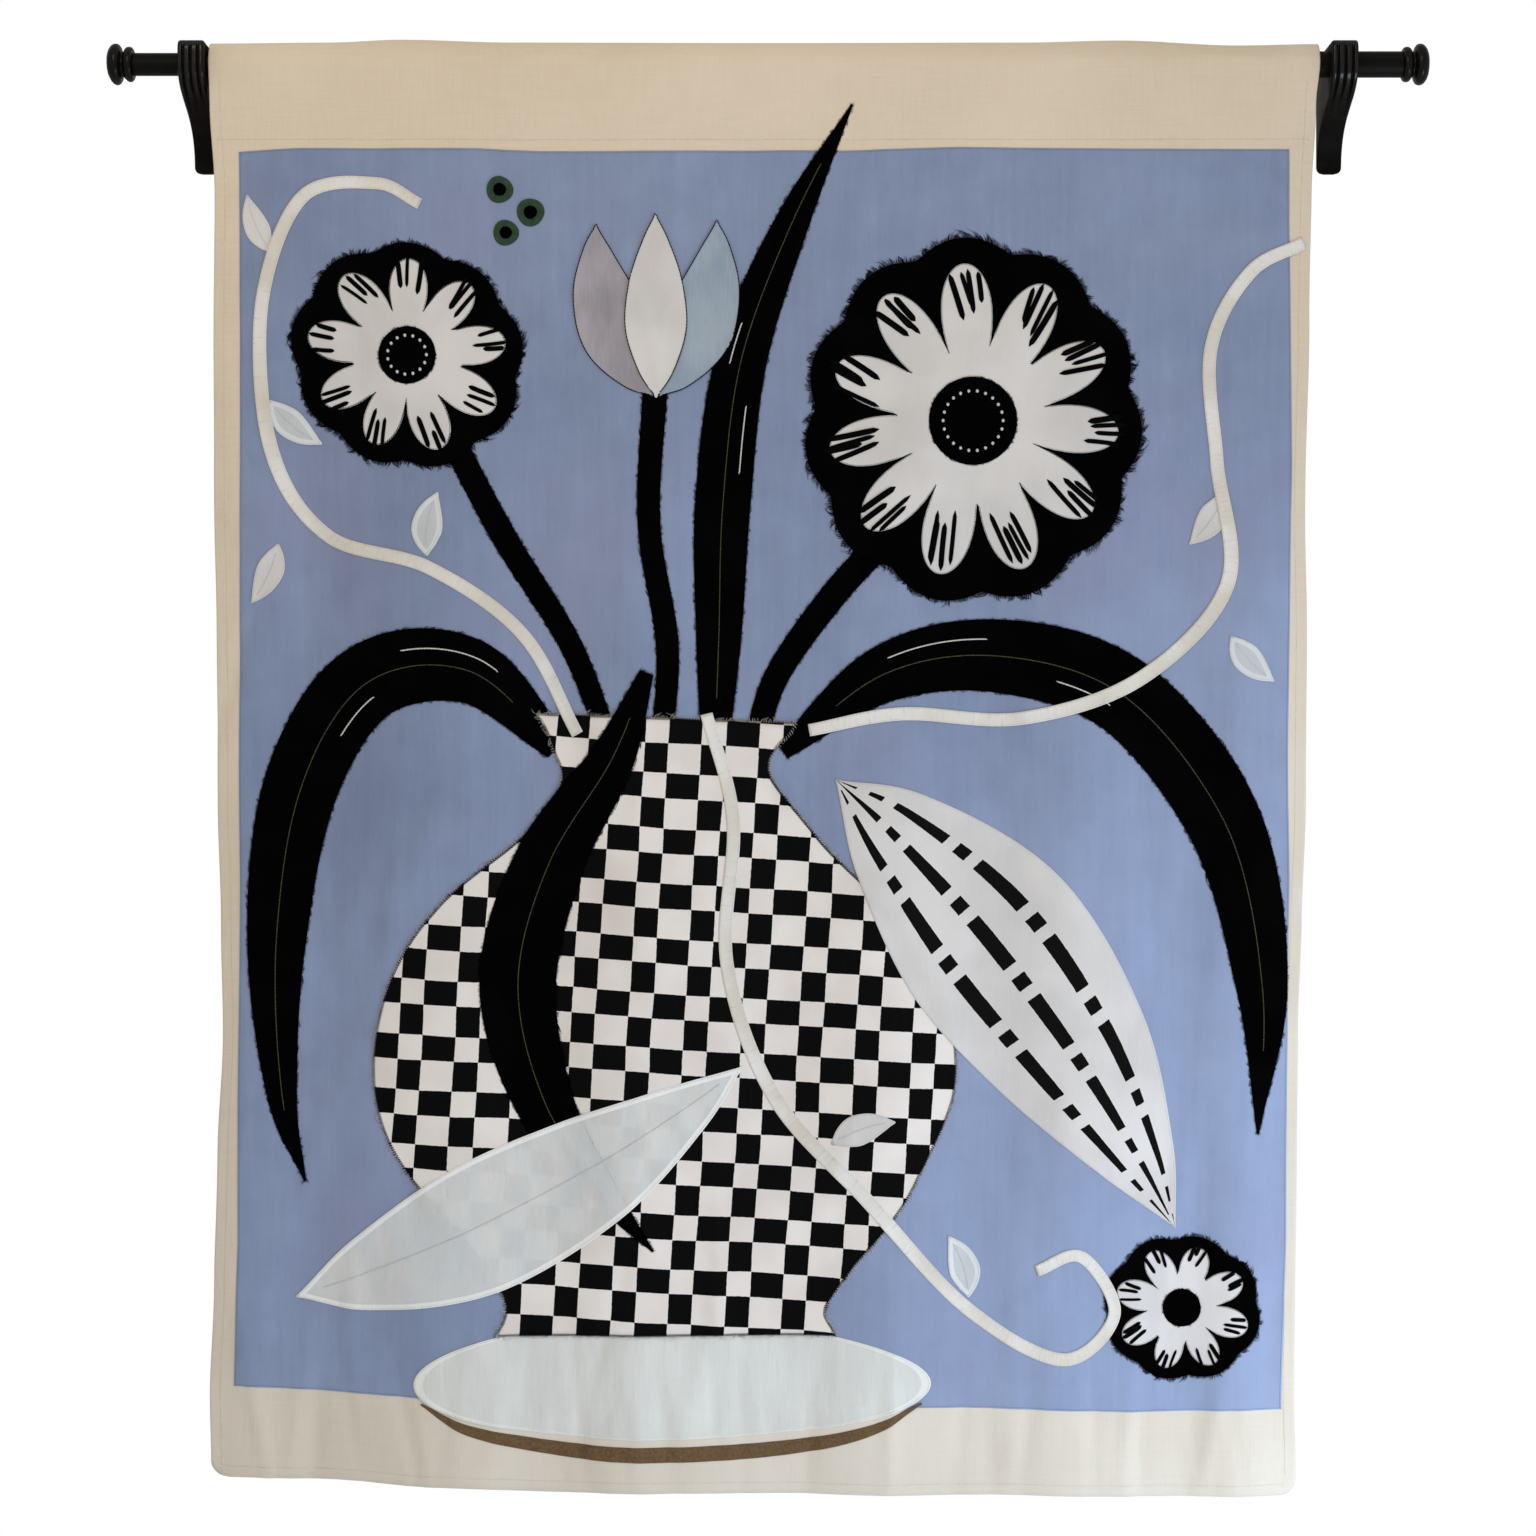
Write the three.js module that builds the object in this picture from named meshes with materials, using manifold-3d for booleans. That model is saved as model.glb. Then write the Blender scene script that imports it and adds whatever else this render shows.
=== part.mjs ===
// Applique wall hanging on a telescoping rod, held by two fluted wall brackets.
// Millimetres, +Z up. The wall is the plane Y = 0 and the hanging faces -Y. The origin is on the
// wall, level with the rod and midway between the brackets. A drop is a distance down from there.
import * as THREE from "three";
import { mergeVertices } from "three/addons/utils/BufferGeometryUtils.js";
import Module from "manifold-3d";

const wasm = await Module();
wasm.setup();

// Driving dimensions
const GAP = 0.3; // between pieces that touch
const ROD_OUT = 70; // wall to rod axis
const OUTER_TUBE = 25.4; // diameter, the right half of the rod
const INNER_TUBE = 22.2; // diameter, the left half, which slides into the other
const TUBE_WALL = 1.3;
const TUBE_SIDES = 24;
const ROD_REACH = 620.7; // middle of the rod to the end of each tube
const OUTER_TUBE_START = -60;
const INNER_TUBE_END = 100;
const BRACKET_OUT = 100; // wall to the nose of the bracket
const BRACKET_WIDTH = 25;
const BRACKET_APART = 1121.4; // middle to middle
const BRACKET_TOP = 19;
const BRACKET_FOOT = 95; // rod axis down to the lowest point
const FLUTES = 3;
const FLUTE_WIDTH = 3.6;
const FLUTE_DEPTH = 3.5;
const BRACKET_STEPS = 8; // along each of its three curves
const FINIAL_SIDES = 18;
const PLUG_LENGTH = 20; // of a finial, inside its tube
const CANVAS = 2; // thickness of the ground cloth
const PATCH = 1; // thickness of each cloth sewn on
const SLEEVE_SLACK = 0.5; // rod to the inside of the sleeve
const SLEEVE_SEAM = 76; // drop of the seam under the rod
const SLEEVE_EDGE = 84; // drop of the sleeve's turned edge
const SWING_BACK = 6; // the cloth hangs this much nearer the wall below its sleeve
const SWING_FROM = 20; // the drop where it starts to swing back, and over which it does
const SWING_OVER = 140;
const FOLD_RISE = 420; // the drop over which a fold grows to its depth
const GRID_LEFT = -525; // the first and last whole columns of the cloth's grid
const GRID_RIGHT = 505;
const GRID_CELLS = 25; // between those two
const ROW_STEP = 128;
const GRID_ROWS = 11;

const BLACK = 0x050505;
const CREAM = 0xcfc3ad;
const BLUE = 0x8089a4;
const WHITE = 0xd4cfc8;
const ICE = 0xd3dcdf;
const CHECK = 0x8b8582;
const BROWN = 0x6e5532;
const LILAC = 0x9a98a2;
const SKY = 0x8b9db1;
const GREEN = 0x1e3c28;
const IRON = 0x1a1b17;

// Rows of a short table become objects with the named columns.
function table(columns, ...rows) {
  const names = columns.split(" ");
  return rows.map((row) =>
    Object.fromEntries(names.map((name, i) => [name, row[i]])),
  );
}

// The main folds: where each stands at the rod, half its width, how deep it is (towards the
// wall when positive), how far it leans to the right over a metre, and the drop where it begins.
const FOLDS = table(
  "x width depth lean from",
  [-512, 36, -5, 12, 120],
  [-436, 46, 6, -16, 60],
  [-335, 60, -7, 24, 150],
  [-218, 52, 5, 10, 200],
  [-112, 58, -6, -22, 90],
  [2, 70, 5, 18, 250],
  [118, 52, -5, -12, 120],
  [208, 55, 7, 22, 180],
  [312, 60, -6, -26, 80],
  [402, 42, 5, 10, 160],
  [468, 36, -7, -12, 220],
  [522, 30, 4, -8, 100],
);

// The ground cloth's two side edges at several drops.
const SIDES = table(
  "drop left right",
  [0, -545.5, 538],
  [40, -544, 534],
  [125, -540, 530],
  [250, -541, 528],
  [430, -540, 524.5],
  [545, -538, 526.5],
  [720, -537, 525.5],
  [840, -534, 521.5],
  [950, -532, 517.7],
  [1070, -537, 516.6],
  [1190, -540, 514.8],
  [1305, -545, 513.8],
  [1370, -544, 515.3],
);

// The drop of its bottom edge, and how high its sleeve stands above the rod axis.
const BOTTOM = table(
  "x drop",
  [-545, 1377],
  [-525, 1381],
  [-437, 1384],
  [-320, 1390],
  [-200, 1396],
  [0, 1397.5],
  [220, 1399],
  [400, 1400],
  [500, 1399],
  [515, 1396],
);
const TOP = table(
  "x height",
  [-545, 20.5],
  [-430, 21.5],
  [-360, 24.3],
  [-250, 21.5],
  [0, 21],
  [250, 21.5],
  [345, 23.5],
  [460, 18.5],
  [538, 20],
);

// The blue field's side edges, and the drops of its top and bottom edges.
const FIELD_SIDES = table(
  "drop left right",
  [86, -516, 508],
  [390, -514.5, 511.5],
  [680, -516, 508],
  [800, -515, 509.5],
  [1000, -517, 507],
  [1150, -517, 506],
  [1300, -521.5, 501.5],
);
const FIELD_ENDS = table(
  "x top bottom",
  [-516, 88, 1292],
  [-456, 84.5, 1296],
  [-281, 84.5, 1307],
  [-222, 87, 1309],
  [70, 86.5, 1313],
  [187, 83.5, 1314],
  [363, 85, 1318],
  [508, 86, 1315],
);

// Eased reading of a table's column between the rows on either side of a value.
function read(rows, key, value, column) {
  if (value <= rows[0][key]) return rows[0][column];
  const next = rows.findIndex((row) => row[key] > value);
  if (next < 0) return rows[rows.length - 1][column];
  const low = rows[next - 1];
  const high = rows[next];
  const share = (value - low[key]) / (high[key] - low[key]);
  return low[column] + (high[column] - low[column]) * ease(share);
}

function ease(share) {
  const s = Math.min(Math.max(share, 0), 1);
  return s * s * (3 - 2 * s);
}

// Y of the ground cloth's front face: straight below the rod at the top, then swinging back
// a little and falling into its folds.
const SLEEVE_RADIUS = OUTER_TUBE / 2 + SLEEVE_SLACK + CANVAS;

function clothFront(x, z) {
  let y = -ROD_OUT - SLEEVE_RADIUS + SWING_BACK * ease((-z - SWING_FROM) / SWING_OVER);
  for (const fold of FOLDS) {
    const middle = fold.x - (fold.lean * z) / 1000;
    const side = Math.exp(-(((x - middle) / fold.width) ** 2));
    y += fold.depth * side * ease((-z - fold.from) / FOLD_RISE);
  }
  return y;
}

// Columns and rows of the grid that every cloth shares, so that their faces stay parallel. One
// more column lies outside the cloth on each side, and the last row lies below its hem.
const COLUMN_STEP = (GRID_RIGHT - GRID_LEFT) / GRID_CELLS;
const COLUMNS = [];
for (let i = -1; i <= GRID_CELLS + 1; i++) COLUMNS.push(GRID_LEFT + i * COLUMN_STEP);
const ROWS = [0, -ROW_STEP / 2];
for (let j = 1; j <= GRID_ROWS; j++) ROWS.push(-j * ROW_STEP);
const LAST_ROW = -GRID_ROWS * ROW_STEP;

// A mesh from points and from faces that list their corners anticlockwise seen from outside.
function meshOf(points, faces) {
  const geometry = new THREE.BufferGeometry();
  geometry.setAttribute(
    "position",
    new THREE.Float32BufferAttribute(points.flat(), 3),
  );
  geometry.setIndex(
    faces.flatMap((face) =>
      face.slice(2).flatMap((corner, i) => [face[0], face[i + 1], corner]),
    ),
  );
  return geometry;
}

// Triangles over a flat outline with its holes, each anticlockwise.
function triangles(outline, holes = []) {
  const corners = [outline, ...holes].flat();
  return THREE.ShapeUtils.triangulateShape(outline, holes).map((face) => {
    const area = THREE.ShapeUtils.area(face.map((k) => corners[k]));
    return area > 0 ? face : face.toReversed();
  });
}

function solid(geometry) {
  geometry.deleteAttribute("normal");
  geometry.deleteAttribute("uv");
  const merged = mergeVertices(geometry, 1e-4);
  return new wasm.Manifold(
    new wasm.Mesh({
      numProp: 3,
      vertProperties: new Float32Array(merged.attributes.position.array),
      triVerts: new Uint32Array(merged.index.array),
    }),
  );
}

function geometryOf(manifold) {
  const mesh = manifold.getMesh();
  const geometry = new THREE.BufferGeometry();
  geometry.setAttribute(
    "position",
    new THREE.BufferAttribute(mesh.vertProperties, 3),
  );
  geometry.setIndex(new THREE.BufferAttribute(mesh.triVerts, 1));
  geometry.computeVertexNormals();
  return geometry;
}

const hanging = new THREE.Group();

function add(name, geometry, color, roughness = 0.9, metalness = 0) {
  const material = new THREE.MeshStandardMaterial({
    color,
    roughness,
    metalness,
  });
  const mesh = new THREE.Mesh(geometry, material);
  mesh.name = name;
  hanging.add(mesh);
  return mesh;
}

// Rod: two tubes that slide one in the other, turned round the X axis.
function turned(profile, sides) {
  const points = profile.map(([radius, along]) => new THREE.Vector2(radius, along));
  return new THREE.LatheGeometry(points, sides).rotateZ(-Math.PI / 2);
}

function tube(diameter, start, end) {
  const outside = diameter / 2;
  const inside = outside - TUBE_WALL;
  return turned(
    [
      [inside, start],
      [outside, start],
      [outside, end],
      [inside, end],
      [inside, start],
    ],
    TUBE_SIDES,
  );
}

const outerTube = tube(OUTER_TUBE, OUTER_TUBE_START, ROD_REACH);
add("rod_outer_tube", outerTube, IRON, 0.4, 0.6).position.y = -ROD_OUT;
const innerTube = tube(INNER_TUBE, -ROD_REACH, INNER_TUBE_END);
add("rod_inner_tube", innerTube, IRON, 0.4, 0.6).position.y = -ROD_OUT;

// Finial: a plug inside the tube, then a ring, a neck and a disc beyond its end.
const FINIAL = table(
  "radius along",
  [15.8, GAP],
  [17, 1.8],
  [17, 8.6],
  [15.8, 10],
  [13.6, 10.4],
  [13.6, 11.6],
  [17.6, 12],
  [19.5, 14],
  [19.5, 22.5],
  [17.8, 25],
  [0, 25.6],
);

function finial(tubeDiameter) {
  const plug = tubeDiameter / 2 - TUBE_WALL - GAP;
  const knob = FINIAL.map(({ radius, along }) => [radius, along]);
  return turned([[0, -PLUG_LENGTH], [plug, -PLUG_LENGTH], [plug, GAP], ...knob], FINIAL_SIDES);
}

const rightFinial = add("finial_right", finial(OUTER_TUBE), BLACK, 0.3);
rightFinial.position.set(ROD_REACH, -ROD_OUT, 0);
const leftFinial = add("finial_left", finial(INNER_TUBE), BLACK, 0.3);
leftFinial.position.set(-ROD_REACH, -ROD_OUT, 0);
leftFinial.rotation.z = Math.PI;

// Bracket: a deep arm with a closed eye for its tube, and below it a thin plate down the wall.
// Its side outline is carried across its width, and its nose and underside dip back a little
// in the middle of each flute.
function bracketSide(out) {
  const shape = new THREE.Shape();
  shape.moveTo(0, -BRACKET_FOOT);
  shape.lineTo(0.05 * out, -BRACKET_FOOT);
  shape.bezierCurveTo(0.02 * out, -38, 0.78 * out, -44, 0.96 * out, -17);
  shape.quadraticCurveTo(out, -12, out, -5);
  shape.lineTo(out, 8);
  shape.quadraticCurveTo(out, BRACKET_TOP, 0.9 * out, BRACKET_TOP);
  shape.lineTo(0, BRACKET_TOP);
  return shape.getPoints(BRACKET_STEPS);
}

function bracket(tubeDiameter) {
  const rib = (BRACKET_WIDTH - FLUTES * FLUTE_WIDTH) / (FLUTES + 1);
  const stations = [];
  for (let i = 0; i <= FLUTES; i++) {
    const start = -BRACKET_WIDTH / 2 + i * (rib + FLUTE_WIDTH);
    stations.push({ x: start, out: BRACKET_OUT }, { x: start + rib, out: BRACKET_OUT });
    const middle = start + rib + FLUTE_WIDTH / 2;
    if (i < FLUTES) stations.push({ x: middle, out: BRACKET_OUT - FLUTE_DEPTH });
  }
  const points = [];
  const rings = stations.map(({ x, out }) =>
    bracketSide(out).map((side) => points.push([x, -side.x, side.y]) - 1),
  );
  const faces = [];
  for (let i = 0; i + 1 < rings.length; i++)
    rings[i].forEach((corner, k) => {
      const next = (k + 1) % rings[i].length;
      faces.push([rings[i + 1][k], rings[i + 1][next], rings[i][next], corner]);
    });
  for (const corners of triangles(bracketSide(BRACKET_OUT))) {
    faces.push(corners.map((k) => rings[0][k]));
    faces.push(corners.map((k) => rings[rings.length - 1][k]).reverse());
  }
  const eye = tubeDiameter / 2 + GAP;
  const drill = new THREE.CylinderGeometry(eye, eye, 2 * BRACKET_WIDTH, TUBE_SIDES);
  drill.rotateZ(Math.PI / 2).translate(0, -ROD_OUT, 0);
  return geometryOf(solid(meshOf(points, faces)).subtract(solid(drill)));
}

add("bracket_right", bracket(OUTER_TUBE), BLACK, 0.25).position.x = BRACKET_APART / 2;
add("bracket_left", bracket(INNER_TUBE), BLACK, 0.25).position.x = -BRACKET_APART / 2;

// Y of the cloth's front between the grid's columns, where its faces are flat.
function front(x, z) {
  const cells = (x - GRID_LEFT) / COLUMN_STEP;
  const share = cells - Math.floor(cells);
  const left = GRID_LEFT + Math.floor(cells) * COLUMN_STEP;
  const right = left + COLUMN_STEP;
  return (1 - share) * clothFront(left, z) + share * clothFront(right, z);
}

// Ground cloth: one sheet that comes up the front, over the rod, and down the back to its seam.
// Its section is an outer loop round a tunnel, carried along X over the shared columns.
const ARCH_STEPS = 6;
const BULGE_DROP = 30; // the back layer of the sleeve bulges here
const BULGE_BACK = 8; // from the rod axis to its outer face

function arch(x, radius) {
  const crest = read(TOP, "x", x, "height") - SLEEVE_RADIUS;
  const points = [];
  for (let i = 0; i <= ARCH_STEPS; i++) {
    const angle = (Math.PI * i) / ARCH_STEPS;
    const rise = crest * (1 - Math.abs(1 - (2 * i) / ARCH_STEPS)) ** 2;
    const y = -ROD_OUT + radius * Math.cos(angle);
    points.push([x, y, (radius + rise) * Math.sin(angle)]);
  }
  return points;
}

function outerLoop(xAt) {
  const on = (z, layers) => [xAt(z), front(xAt(z), z) + layers * CANVAS, z];
  const floor = -read(BOTTOM, "x", xAt(LAST_ROW), "drop");
  const rows = ROWS.filter((z) => z < 0 && z > LAST_ROW);
  const below = rows.filter((z) => z < -SLEEVE_EDGE).reverse();
  return [
    ...rows.map((z) => on(z, 0)),
    on(floor, 0),
    on(floor, 1),
    ...below.map((z) => on(z, 1)),
    on(-SLEEVE_EDGE, 1),
    on(-SLEEVE_EDGE, 2),
    on(-SLEEVE_SEAM, 2),
    [xAt(0), -ROD_OUT + BULGE_BACK, -BULGE_DROP],
    ...arch(xAt(0), SLEEVE_RADIUS),
  ];
}

function tunnelLoop(xAt) {
  const on = (z) => [xAt(z), front(xAt(z), z) + CANVAS, z];
  return [
    on(-ROW_STEP / 2),
    on(1 - SLEEVE_SEAM),
    [xAt(0), -ROD_OUT + BULGE_BACK - CANVAS, -BULGE_DROP],
    ...arch(xAt(0), SLEEVE_RADIUS - CANVAS),
  ];
}

function groundCloth() {
  const side = (name) => (z) => read(SIDES, "drop", -z, name);
  const inner = COLUMNS.slice(1, -1);
  const stations = [side("left"), ...inner.map((x) => () => x), side("right")];
  const points = [];
  const faces = [];
  const store = (point) => points.push(point) - 1;
  const outer = stations.map((xAt) => outerLoop(xAt).map(store));
  const tunnel = stations.map((xAt) => tunnelLoop(xAt).map(store));
  for (const rings of [outer, tunnel])
    for (let i = 0; i + 1 < rings.length; i++)
      rings[i].forEach((corner, k) => {
        const next = (k + 1) % rings[i].length;
        const face = [corner, rings[i][next], rings[i + 1][next], rings[i + 1][k]];
        faces.push(rings === tunnel ? face.reverse() : face);
      });
  for (const end of [0, stations.length - 1]) {
    const flat = (ring) => ring.map((k) => new THREE.Vector2(points[k][1], points[k][2]));
    const corners = [...outer[end], ...tunnel[end]];
    for (const face of triangles(flat(outer[end]), [flat(tunnel[end])])) {
      const cap = face.map((k) => corners[k]);
      faces.push(end === 0 ? cap.reverse() : cap);
    }
  }
  return meshOf(points, faces);
}

add("ground_cloth", geometryOf(solid(groundCloth())), CREAM, 0.95);

// Layers: wavy sheets over the whole grid, parallel to the ground cloth's front and a gap
// apart. Layer 1 lies on it, and each cloth sewn on is cut out of the sheet of its layer.
function layerSheet(layer) {
  const back = -GAP - (GAP + PATCH) * (layer - 1);
  const points = [];
  for (const shift of [back - PATCH, back])
    for (const z of ROWS)
      for (const x of COLUMNS) points.push([x, clothFront(x, z) + shift, z]);
  const across = COLUMNS.length;
  const down = ROWS.length;
  const fore = (i, j) => j * across + i;
  const aft = (i, j) => fore(i, j) + across * down;
  const faces = [];
  const rim = [];
  for (let j = 0; j + 1 < down; j++)
    for (let i = 0; i + 1 < across; i++) {
      faces.push([fore(i, j), fore(i, j + 1), fore(i + 1, j + 1), fore(i + 1, j)]);
      faces.push([aft(i, j), aft(i + 1, j), aft(i + 1, j + 1), aft(i, j + 1)]);
    }
  for (let j = 0; j < down; j++) rim.push([0, j]);
  for (let i = 1; i < across; i++) rim.push([i, down - 1]);
  for (let j = down - 2; j >= 0; j--) rim.push([across - 1, j]);
  for (let i = across - 2; i > 0; i--) rim.push([i, 0]);
  rim.forEach((here, k) => {
    const next = rim[(k + 1) % rim.length];
    faces.push([fore(...here), aft(...here), aft(...next), fore(...next)]);
  });
  return solid(meshOf(points, faces));
}

const LAYERS = 5;
const sheets = [null];
for (let layer = 1; layer <= LAYERS; layer++) sheets.push(layerSheet(layer));

// A piece cut from its layer's sheet along an outline of [x, z] corners.
function patch(name, layer, outline, color, roughness = 0.9) {
  const corners = outline.map(([x, z]) => new THREE.Vector2(x, z));
  const settings = { depth: 2 * ROD_OUT, bevelEnabled: false };
  const prism = new THREE.ExtrudeGeometry(new THREE.Shape(corners), settings);
  prism.rotateX(Math.PI / 2);
  add(name, geometryOf(solid(prism).intersect(sheets[layer])), color, roughness);
}

// Outline of a band that follows a smooth spine, with its own half width at each point of it.
const TIP = 0.8; // the least half width

function ribbon(rows, steps) {
  const stops = rows.map(({ x, z, half }) => new THREE.Vector3(x, z, half));
  const spine = new THREE.CatmullRomCurve3(stops, false, "catmullrom");
  const left = [];
  const right = [];
  for (let i = 0; i <= steps; i++) {
    const at = spine.getPoint(i / steps);
    const along = spine.getTangent(i / steps);
    const reach = Math.max(at.z, TIP) / Math.hypot(along.x, along.y);
    left.push([at.x - reach * along.y, at.y + reach * along.x]);
    right.push([at.x + reach * along.y, at.y - reach * along.x]);
  }
  return [...left, ...right.reverse()];
}

// Outline round a centre, whose radius is a function of the angle.
function ring(x, z, steps, radiusAt, squash = 1) {
  return Array.from({ length: steps }, (_, i) => {
    const angle = (2 * Math.PI * i) / steps;
    const radius = radiusAt(angle);
    return [x + radius * Math.cos(angle), z + squash * radius * Math.sin(angle)];
  });
}

// Blue field, laid on the ground cloth inside its borders.
function fieldOutline() {
  const down = FIELD_SIDES.slice(1, -1);
  return [
    ...FIELD_ENDS.map((row) => [row.x, -row.top]),
    ...down.map((row) => [row.right, -row.drop]),
    ...FIELD_ENDS.toReversed().map((row) => [row.x, -row.bottom]),
    ...down.toReversed().map((row) => [row.left, -row.drop]),
  ];
}

patch("blue_field", 1, fieldOutline(), BLUE);

// Vase: a wide jar cut from a black and white check, from its rim down to its foot.
const VASE = table(
  "x z half",
  [-100, -640, 128],
  [-101, -668, 110],
  [-100, -702, 103],
  [-98, -760, 148],
  [-99, -835, 228],
  [-101, -925, 276],
  [-100, -1015, 281],
  [-98, -1100, 240],
  [-99, -1170, 184],
  [-100, -1215, 156],
  [-100, -1243, 166],
);
patch("vase", 3, ribbon(VASE, 24), CHECK);

// Table mat under the vase, and the brown band stitched below its front edge.
const MAT = { x: -96, z: -1287, half: 252, squash: 0.23, uneven: 0.02, steps: 36 };
const MAT_BAND = table(
  "x z half",
  [-338, -1309, 1],
  [-290, -1335, 5],
  [-200, -1354, 7],
  [-90, -1359, 7.5],
  [20, -1353, 7],
  [100, -1335, 5],
  [150, -1309, 1],
);
const matRadius = (angle) => MAT.half * (1 + MAT.uneven * Math.cos(3 * angle + 1));
patch("table_mat", 2, ring(MAT.x, MAT.z, MAT.steps, matRadius, MAT.squash), ICE);
patch("table_mat_band", 2, ribbon(MAT_BAND, 18), BROWN);

// Black stems, and long black leaves that arch out of the vase.
const BLACK_BANDS = {
  stem_right: {
    layer: 2,
    rows: table(
      "x z half",
      [-14, -672, 11],
      [8, -600, 12],
      [64, -520, 13],
      [118, -462, 13],
    ),
  },
  stem_middle: {
    layer: 2,
    rows: table(
      "x z half",
      [-104, -672, 10],
      [-98, -570, 11],
      [-116, -450, 11],
      [-110, -316, 12],
    ),
  },
  stem_left: {
    layer: 2,
    rows: table(
      "x z half",
      [-152, -672, 10],
      [-192, -570, 11],
      [-256, -466, 12],
      [-306, -372, 12],
    ),
  },
  leaf_left: {
    layer: 2,
    rows: table(
      "x z half",
      [-206, -668, 14],
      [-292, -594, 32],
      [-392, -606, 38],
      [-456, -706, 36],
      [-480, -860, 28],
      [-474, -1010, 14],
      [-452, -1092, 1],
    ),
  },
  leaf_upright: {
    layer: 2,
    rows: table(
      "x z half",
      [-52, -672, 13],
      [-48, -560, 22],
      [-44, -430, 27],
      [-26, -290, 25],
      [22, -160, 17],
      [82, -42, 1],
    ),
  },
  leaf_right: {
    layer: 2,
    rows: table(
      "x z half",
      [14, -672, 9],
      [116, -596, 28],
      [232, -580, 36],
      [352, -622, 38],
      [446, -744, 36],
      [482, -900, 26],
      [478, -1046, 1],
    ),
  },
  leaf_falling: {
    layer: 4,
    rows: table(
      "x z half",
      [-118, -596, 7],
      [-152, -680, 22],
      [-214, -782, 34],
      [-244, -900, 37],
      [-216, -1020, 28],
      [-152, -1112, 12],
      [-112, -1160, 1],
    ),
  },
};
for (const [name, { layer, rows }] of Object.entries(BLACK_BANDS))
  patch(name, layer, ribbon(rows, 3 * (rows.length - 1)), BLACK, 1);

// Plain leaves: a midrib from base to tip, bent sideways, widest before the middle.
const LEAF_SHAPE = table(
  "along width",
  [0, 0],
  [0.14, 0.56],
  [0.38, 1],
  [0.64, 0.86],
  [0.86, 0.42],
  [1, 0],
);
const LEAVES = table(
  "name layer x z tipX tipZ half bend color",
  ["leaf_dashed", 4, 66, -700, 398, -1138, 92, 26, WHITE],
  ["leaf_sheer", 5, -462, -1206, -24, -980, 64, -24, ICE],
  ["tulip_left", 3, -112, -326, -168, -158, 34, 16, LILAC],
  ["tulip_right", 3, -106, -326, -50, -154, 34, -16, SKY],
  ["tulip_middle", 4, -109, -328, -110, -148, 30, 0, WHITE],
  ["sprig_1", 2, -332, -482, -322, -420, 15, 5, ICE],
  ["sprig_2", 2, -478, -470, -504, -528, 13, 4, WHITE],
  ["sprig_3", 2, -486, -330, -436, -372, 14, -5, ICE],
  ["sprig_4", 2, -484, -186, -508, -130, 12, 4, WHITE],
  ["sprig_5", 2, 452, -560, 494, -604, 14, -4, ICE],
  ["sprig_6", 2, 446, -420, 412, -470, 14, 4, WHITE],
  ["sprig_7", 4, 62, -1056, 124, -1034, 15, 5, WHITE],
  ["sprig_8", 2, 196, -1206, 176, -1146, 15, -5, ICE],
);

function leafRows({ x, z, tipX, tipZ, half, bend }) {
  const long = Math.hypot(tipX - x, tipZ - z);
  return LEAF_SHAPE.map(({ along, width }) => {
    const aside = (4 * bend * along * (1 - along)) / long;
    return {
      x: x + along * (tipX - x) - aside * (tipZ - z),
      z: z + along * (tipZ - z) + aside * (tipX - x),
      half: half * width,
    };
  });
}

for (const leaf of LEAVES) {
  const steps = leaf.half > 20 ? 14 : 6;
  patch(leaf.name, leaf.layer, ribbon(leafRows(leaf), steps), leaf.color, 0.6);
}

// Daisies: a black ground with a scalloped edge, one petal piece, and a centre.
const DAISIES = table(
  "name x z radius petals turn layer",
  ["daisy_large", 200, -350, 172, 11, 0.2, 3],
  ["daisy_left", -352, -286, 112, 9, 0.5, 3],
  ["daisy_low", 404, -1216, 74, 8, 0.1, 2],
);
const PETAL_REACH = 0.86; // shares of the ground's radius
const PETAL_NOTCH = 0.36;
const CENTRE_SHARE = 0.25;
const SCALLOP = 0.07; // of the ground's edge
const UNEVEN = 0.04; // how far from round the whole flower is
const LOBE_POWER = 0.55; // below 1 for round petal ends and sharp notches
const CENTRE_STEPS = 20;

for (const { name, x, z, radius, petals, turn, layer } of DAISIES) {
  const lobe = (angle) => Math.abs(Math.sin((petals * (angle - turn)) / 2));
  const size = (angle) => radius * (1 + UNEVEN * Math.sin(2 * angle + petals));
  const ground = (angle) => size(angle) * (1 - SCALLOP + SCALLOP * lobe(angle));
  const reach = PETAL_REACH - PETAL_NOTCH;
  const petal = (angle) => size(angle) * (PETAL_NOTCH + reach * lobe(angle) ** LOBE_POWER);
  const centre = () => CENTRE_SHARE * radius;
  patch(name + "_ground", layer, ring(x, z, 4 * petals, ground), BLACK, 1);
  patch(name + "_petals", layer + 1, ring(x, z, 6 * petals, petal), WHITE);
  patch(name + "_centre", layer + 2, ring(x, z, CENTRE_STEPS, centre), BLACK, 1);
}

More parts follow.
